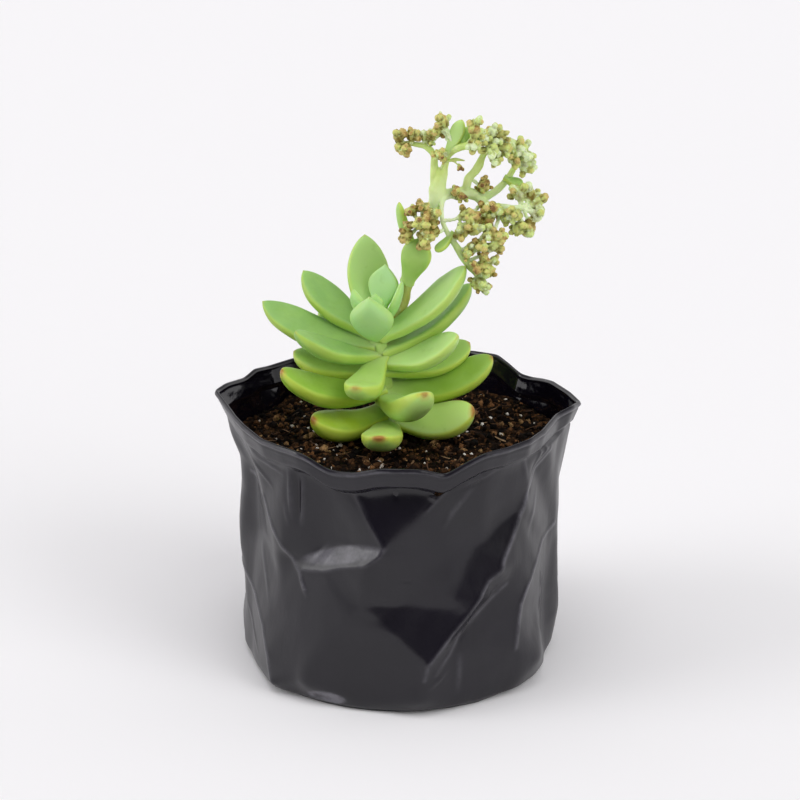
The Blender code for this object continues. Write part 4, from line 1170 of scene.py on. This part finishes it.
def turn_to(direction, spin):
    """A rotation that takes +Z to a direction, after a spin about +Z."""
    up = Vector(direction).to_track_quat("Z", "Y").to_matrix()
    return np.array(up @ Matrix.Rotation(spin, 3, "Z"))


def bud_shapes():
    """A fat bud of radius 1 round the origin that points up: a body and five sepals closed over it."""
    points, faces = small_ball
    body = points * np.array([0.74, 0.74, 1.1])
    body[:, :2] *= (1 - 0.35 * np.clip(-points[:, 2:3], 0, 1))
    shapes = [(body, faces)]
    for sepal in range(5):
        turn = np.array(Matrix.Rotation(math.radians(72 * sepal), 3, "Z"))
        lean = np.array(Matrix.Rotation(math.radians(-14), 3, "Y"))
        lobe = (points * np.array([0.30, 0.42, 0.72])) @ lean.T + np.array([0.56, 0, 0.28])
        shapes.append((lobe @ turn.T, faces))
    return shapes


bud_parts = bud_shapes()


def one_bud(middle, direction, radius, ripe, draw):
    """The parts of one bud, with how ripe it is and how near its tip each point is."""
    turned = turn_to(direction, draw.uniform(0, 6.3))
    plump = np.array([draw.uniform(0.9, 1.1), draw.uniform(0.9, 1.1), draw.uniform(1.05, 1.4)])
    parts = []
    for points, faces in bud_parts:
        put = (points * plump * radius) @ turned.T + middle
        tips = np.clip(points[:, 2] * 0.5 + 0.5, 0, 1)
        parts.append((put, list(faces), {"ripe": np.full(len(points), ripe), "tip": tips}))
    return parts


def bunch_mesh(name, ripeness, buds, draw):
    """A bunch of buds, each on a short foot from the nearest branch, grown into one another."""
    ends = np.vstack(list(stalk_lines.values()))
    middle = np.mean([bud[:3] for bud in buds], axis=0) * MM
    fork = ends[np.linalg.norm(ends - middle, axis=1).argmin()]
    parts, hearts = [], []
    for *place, radius in buds:
        place, radius = np.array(place) * MM, radius * BUD_SWELL * MM
        hearts.append((place, radius))
        near = ends[np.linalg.norm(ends - place, axis=1).argmin()]
        root = near if np.linalg.norm(near - place) < 4 * MM else (fork + near) / 2
        way = (place - root) / np.linalg.norm(place - root)
        lean = way + (drift(draw, 0.2) + (0, 0, 0.15))
        lean /= np.linalg.norm(lean)
        foot = place - lean * radius * 0.7
        foot_line = np.array([near, near * 0.45 + foot * 0.55 - np.array([0, 0, 0.25 * MM]), foot])
        foot_rings = tube_rings(smooth_path(foot_line, 3), np.linspace(0.62, 0.5, 7) * MM, 10)
        parts.append(tube_part(foot_rings, {"ripe": -0.2, "tip": 0.1}))
        ripe = min(1.0, max(0.0, ripeness + draw.gauss(0, 0.22)))
        parts += one_bud(place, lean, radius, ripe, draw)
        for _ in range(SMALL_BUDS):
            stray = lean * 0.35 + drift(draw, 1) * 0.7
            stray /= np.linalg.norm(stray)
            if stray.dot(way) < -0.2:
                stray -= 2 * stray.dot(way) * way
            ripe = min(1.0, max(0.0, ripeness + draw.gauss(0.05, 0.3)))
            heart = place + stray * radius * draw.uniform(0.95, 1.25)
            small = radius * draw.uniform(0.42, 0.7)
            hearts.append((heart, small))
            parts += one_bud(heart, stray, small, ripe, draw)
    mesh = grown_together(name, parts, BUD_GRAIN, 0)
    points = np.array([tuple(v.co) for v in mesh.vertices])
    proud = np.min([np.linalg.norm(points - heart, axis=1) / span for heart, span in hearts], axis=0)
    # painted shade in the creases where buds meet: how far in between the buds each point lies
    note_points(mesh, "crease_shade", np.clip((1.02 - proud) / 0.35, 0, 1))
    normals = [vert.normal.copy() for vert in mesh.vertices]
    for vert, normal in zip(mesh.vertices, normals):
        vert.co += normal * noise.noise(vert.co * 1400) * BUD_UNEVEN
    return mesh


bud_skin, tree, shader = new_material("bud_skin", 0.5, 0.4)
ripe, tip = point_value(tree, "ripe"), point_value(tree, "tip")
mottle = times(plus(object_noise(tree, 620, 4, 0.6), -0.5), 0.8)
skin = ramp(plus(times(ripe, tip), mottle),
            (0.0, (0.78, 0.90, 0.56)), (0.16, (0.60, 0.74, 0.26)), (0.38, (0.62, 0.66, 0.19)),
            (0.6, (0.64, 0.53, 0.19)), (0.85, (0.47, 0.31, 0.09)), (1.0, (0.20, 0.10, 0.03)))
# painted shade darkens the creases between buds, more on riper bunches
skin = mix(times(point_value(tree, "crease_shade"), plus(ripe, 0.55)), skin, (0.20, 0.15, 0.02))
feed(shader, "Base Color", skin)
let_light_in(shader, 0.25, (0.7, 0.9, 0.3), 1.5 * MM)
bump(shader, object_noise(tree, 1500, 3, 0.6), 0.15 * MM)

draw = random.Random(31)
for node, (ripeness, *buds) in BUNCHES.items():
    mesh = bunch_mesh(node + "_bunch", ripeness, buds, draw)
    add_piece(node + "_bunch", mesh, bud_skin, "bud", node)

# A small bract and a flower that dried on the stalk, on a thread from the upper fork.
WITHERED_THREAD = ((12.2, 5.4, 156.4), (12.9, 4.9, 158.2), (14.6, 4.6, 159.4), (16.4, 4.5, 159.2),
                   (17.6, 4.5, 158.2))
WITHERED_LEAF = ((14.2, 4.6, 159.3), (16.8, 4.5, 159.9), (19.8, 4.6, 159.5))
WITHERED_WIDTHS = (0.3, 0.45, 0.55, 0.6, 0.6, 0.5, 0.4, 0.3, 0.15)
WITHERED_BUDS = ((18.1, 4.5, 157.6, 0.95), (19.0, 4.4, 157.0, 0.6), (17.6, 4.2, 156.9, 0.5))
thread_line = smooth_path(np.array(WITHERED_THREAD) * MM, 4)
thread_rings = tube_rings(thread_line, np.linspace(0.32, 0.24, len(thread_line)) * MM, 8)
leaf_line = smooth_path(np.array(WITHERED_LEAF) * MM, 4)
leaf_rings = tube_rings(leaf_line, np.array(WITHERED_WIDTHS) * MM, 8)
withered_parts = [
    tube_part(thread_rings, {"ripe": 0.4, "tip": 0.3}),
    tube_part(leaf_rings, {"ripe": 0.5, "tip": 0.5}),
]
hanging = np.array([0.3, -0.3, -0.9])
for *place, radius in WITHERED_BUDS:
    withered_parts += one_bud(np.array(place) * MM, hanging, radius * MM, 1.5, draw)
withered = grown_together("withered_flower", withered_parts, BUD_GRAIN, 0)
# no painted crease shade on the withered flower
note_points(withered, "crease_shade", np.zeros(len(withered.vertices)))
add_piece("withered_flower", withered, bud_skin, "bud")

# ---------------------------------------------------------------------------------------------------
# The studio: a pale floor under and behind the plant, three soft lamps, a fill from the front right,
# and a sky that is dark towards the viewer, so that the film shows its folds.
# ---------------------------------------------------------------------------------------------------

VIEW_ELEVATION = 20.0
VIEW_DISTANCE = 0.80
VIEW_HEIGHT = 0.084
LENS = 115.6
FLOOR_REACH = 4.0

floor_mesh = bpy.data.meshes.new("studio_floor")
corners = [(x * FLOOR_REACH, y * FLOOR_REACH, 0.0) for x, y in ((-1, -1), (1, -1), (1, 1), (-1, 1))]
floor_mesh.from_pydata(corners, [], [(0, 1, 2, 3)])
paper, tree, shader = new_material("paper", 0.9, 0.1)
shader.inputs["Base Color"].default_value = (0.93, 0.92, 0.935, 1.0)
floor_mesh.materials.append(paper)
floor = bpy.data.objects.new("studio_floor", floor_mesh)
bpy.context.scene.collection.objects.link(floor)

world = bpy.data.worlds.new("studio_sky")
bpy.context.scene.world = world
world.use_nodes = True
tree = world.node_tree
direction = add_node(tree, "ShaderNodeTexCoord").outputs["Generated"]
towards = add_node(tree, "ShaderNodeSeparateXYZ", [(0, direction)])
ahead = times(towards.outputs["Y"], 0.483)
aside = times(towards.outputs["X"], -0.129)
depth = plus(plus(ahead, aside), 0.5)
room = ramp(depth, (0.1, 0.03), (0.26, 0.2), (0.38, 0.95), (0.5, 1.25), (0.62, 1.0), (0.95, 0.7))
ceiling = ramp(towards.outputs["Z"], (0.3, 1.0), (0.6, 0.25), (0.8, 0.45), (0.95, 0.6))
side = plus(times(towards.outputs["X"], -0.33), 1.22)
strength = times(times(room, ceiling), side)
sky = tree.nodes["Background"]
sky.inputs["Color"].default_value = (1.0, 0.985, 1.0, 1.0)
feed(sky, "Strength", strength)


def soft_light(name, bearing, elevation, width, strength):
    """A large lamp far off, at a bearing and an elevation, that looks so many degrees wide."""
    lamp = bpy.data.lights.new(name, "SUN")
    lamp.angle = math.radians(width)
    lamp.energy = strength
    holder = bpy.data.objects.new(name, lamp)
    rise = math.radians(elevation)
    aim = -(outward(bearing) * math.cos(rise) + Vector((0, 0, math.sin(rise))))
    holder.rotation_euler = aim.to_track_quat("-Z", "Y").to_euler()
    bpy.context.scene.collection.objects.link(holder)
    return holder


soft_light("key_light", -78, 30, 31, 0.62)
soft_light("top_light", -20, 72, 30, 0.45)
soft_light("right_light", 52, 32, 30, 0.55)
soft_light("fill_light", 40, 36, 60, 1.05).visible_glossy = False

camera = bpy.data.cameras.new("camera")
camera.lens = LENS
camera.sensor_width = 36.0
viewer = bpy.data.objects.new("camera", camera)
tilt = math.radians(VIEW_ELEVATION)
aim = Vector((0, 0, VIEW_HEIGHT))
viewer.location = aim + Vector((0, -math.cos(tilt), math.sin(tilt))) * VIEW_DISTANCE
viewer.rotation_euler = (aim - viewer.location).to_track_quat("-Z", "Y").to_euler()
bpy.context.scene.collection.objects.link(viewer)
bpy.context.scene.camera = viewer
bpy.context.scene.view_settings.view_transform = "Standard"
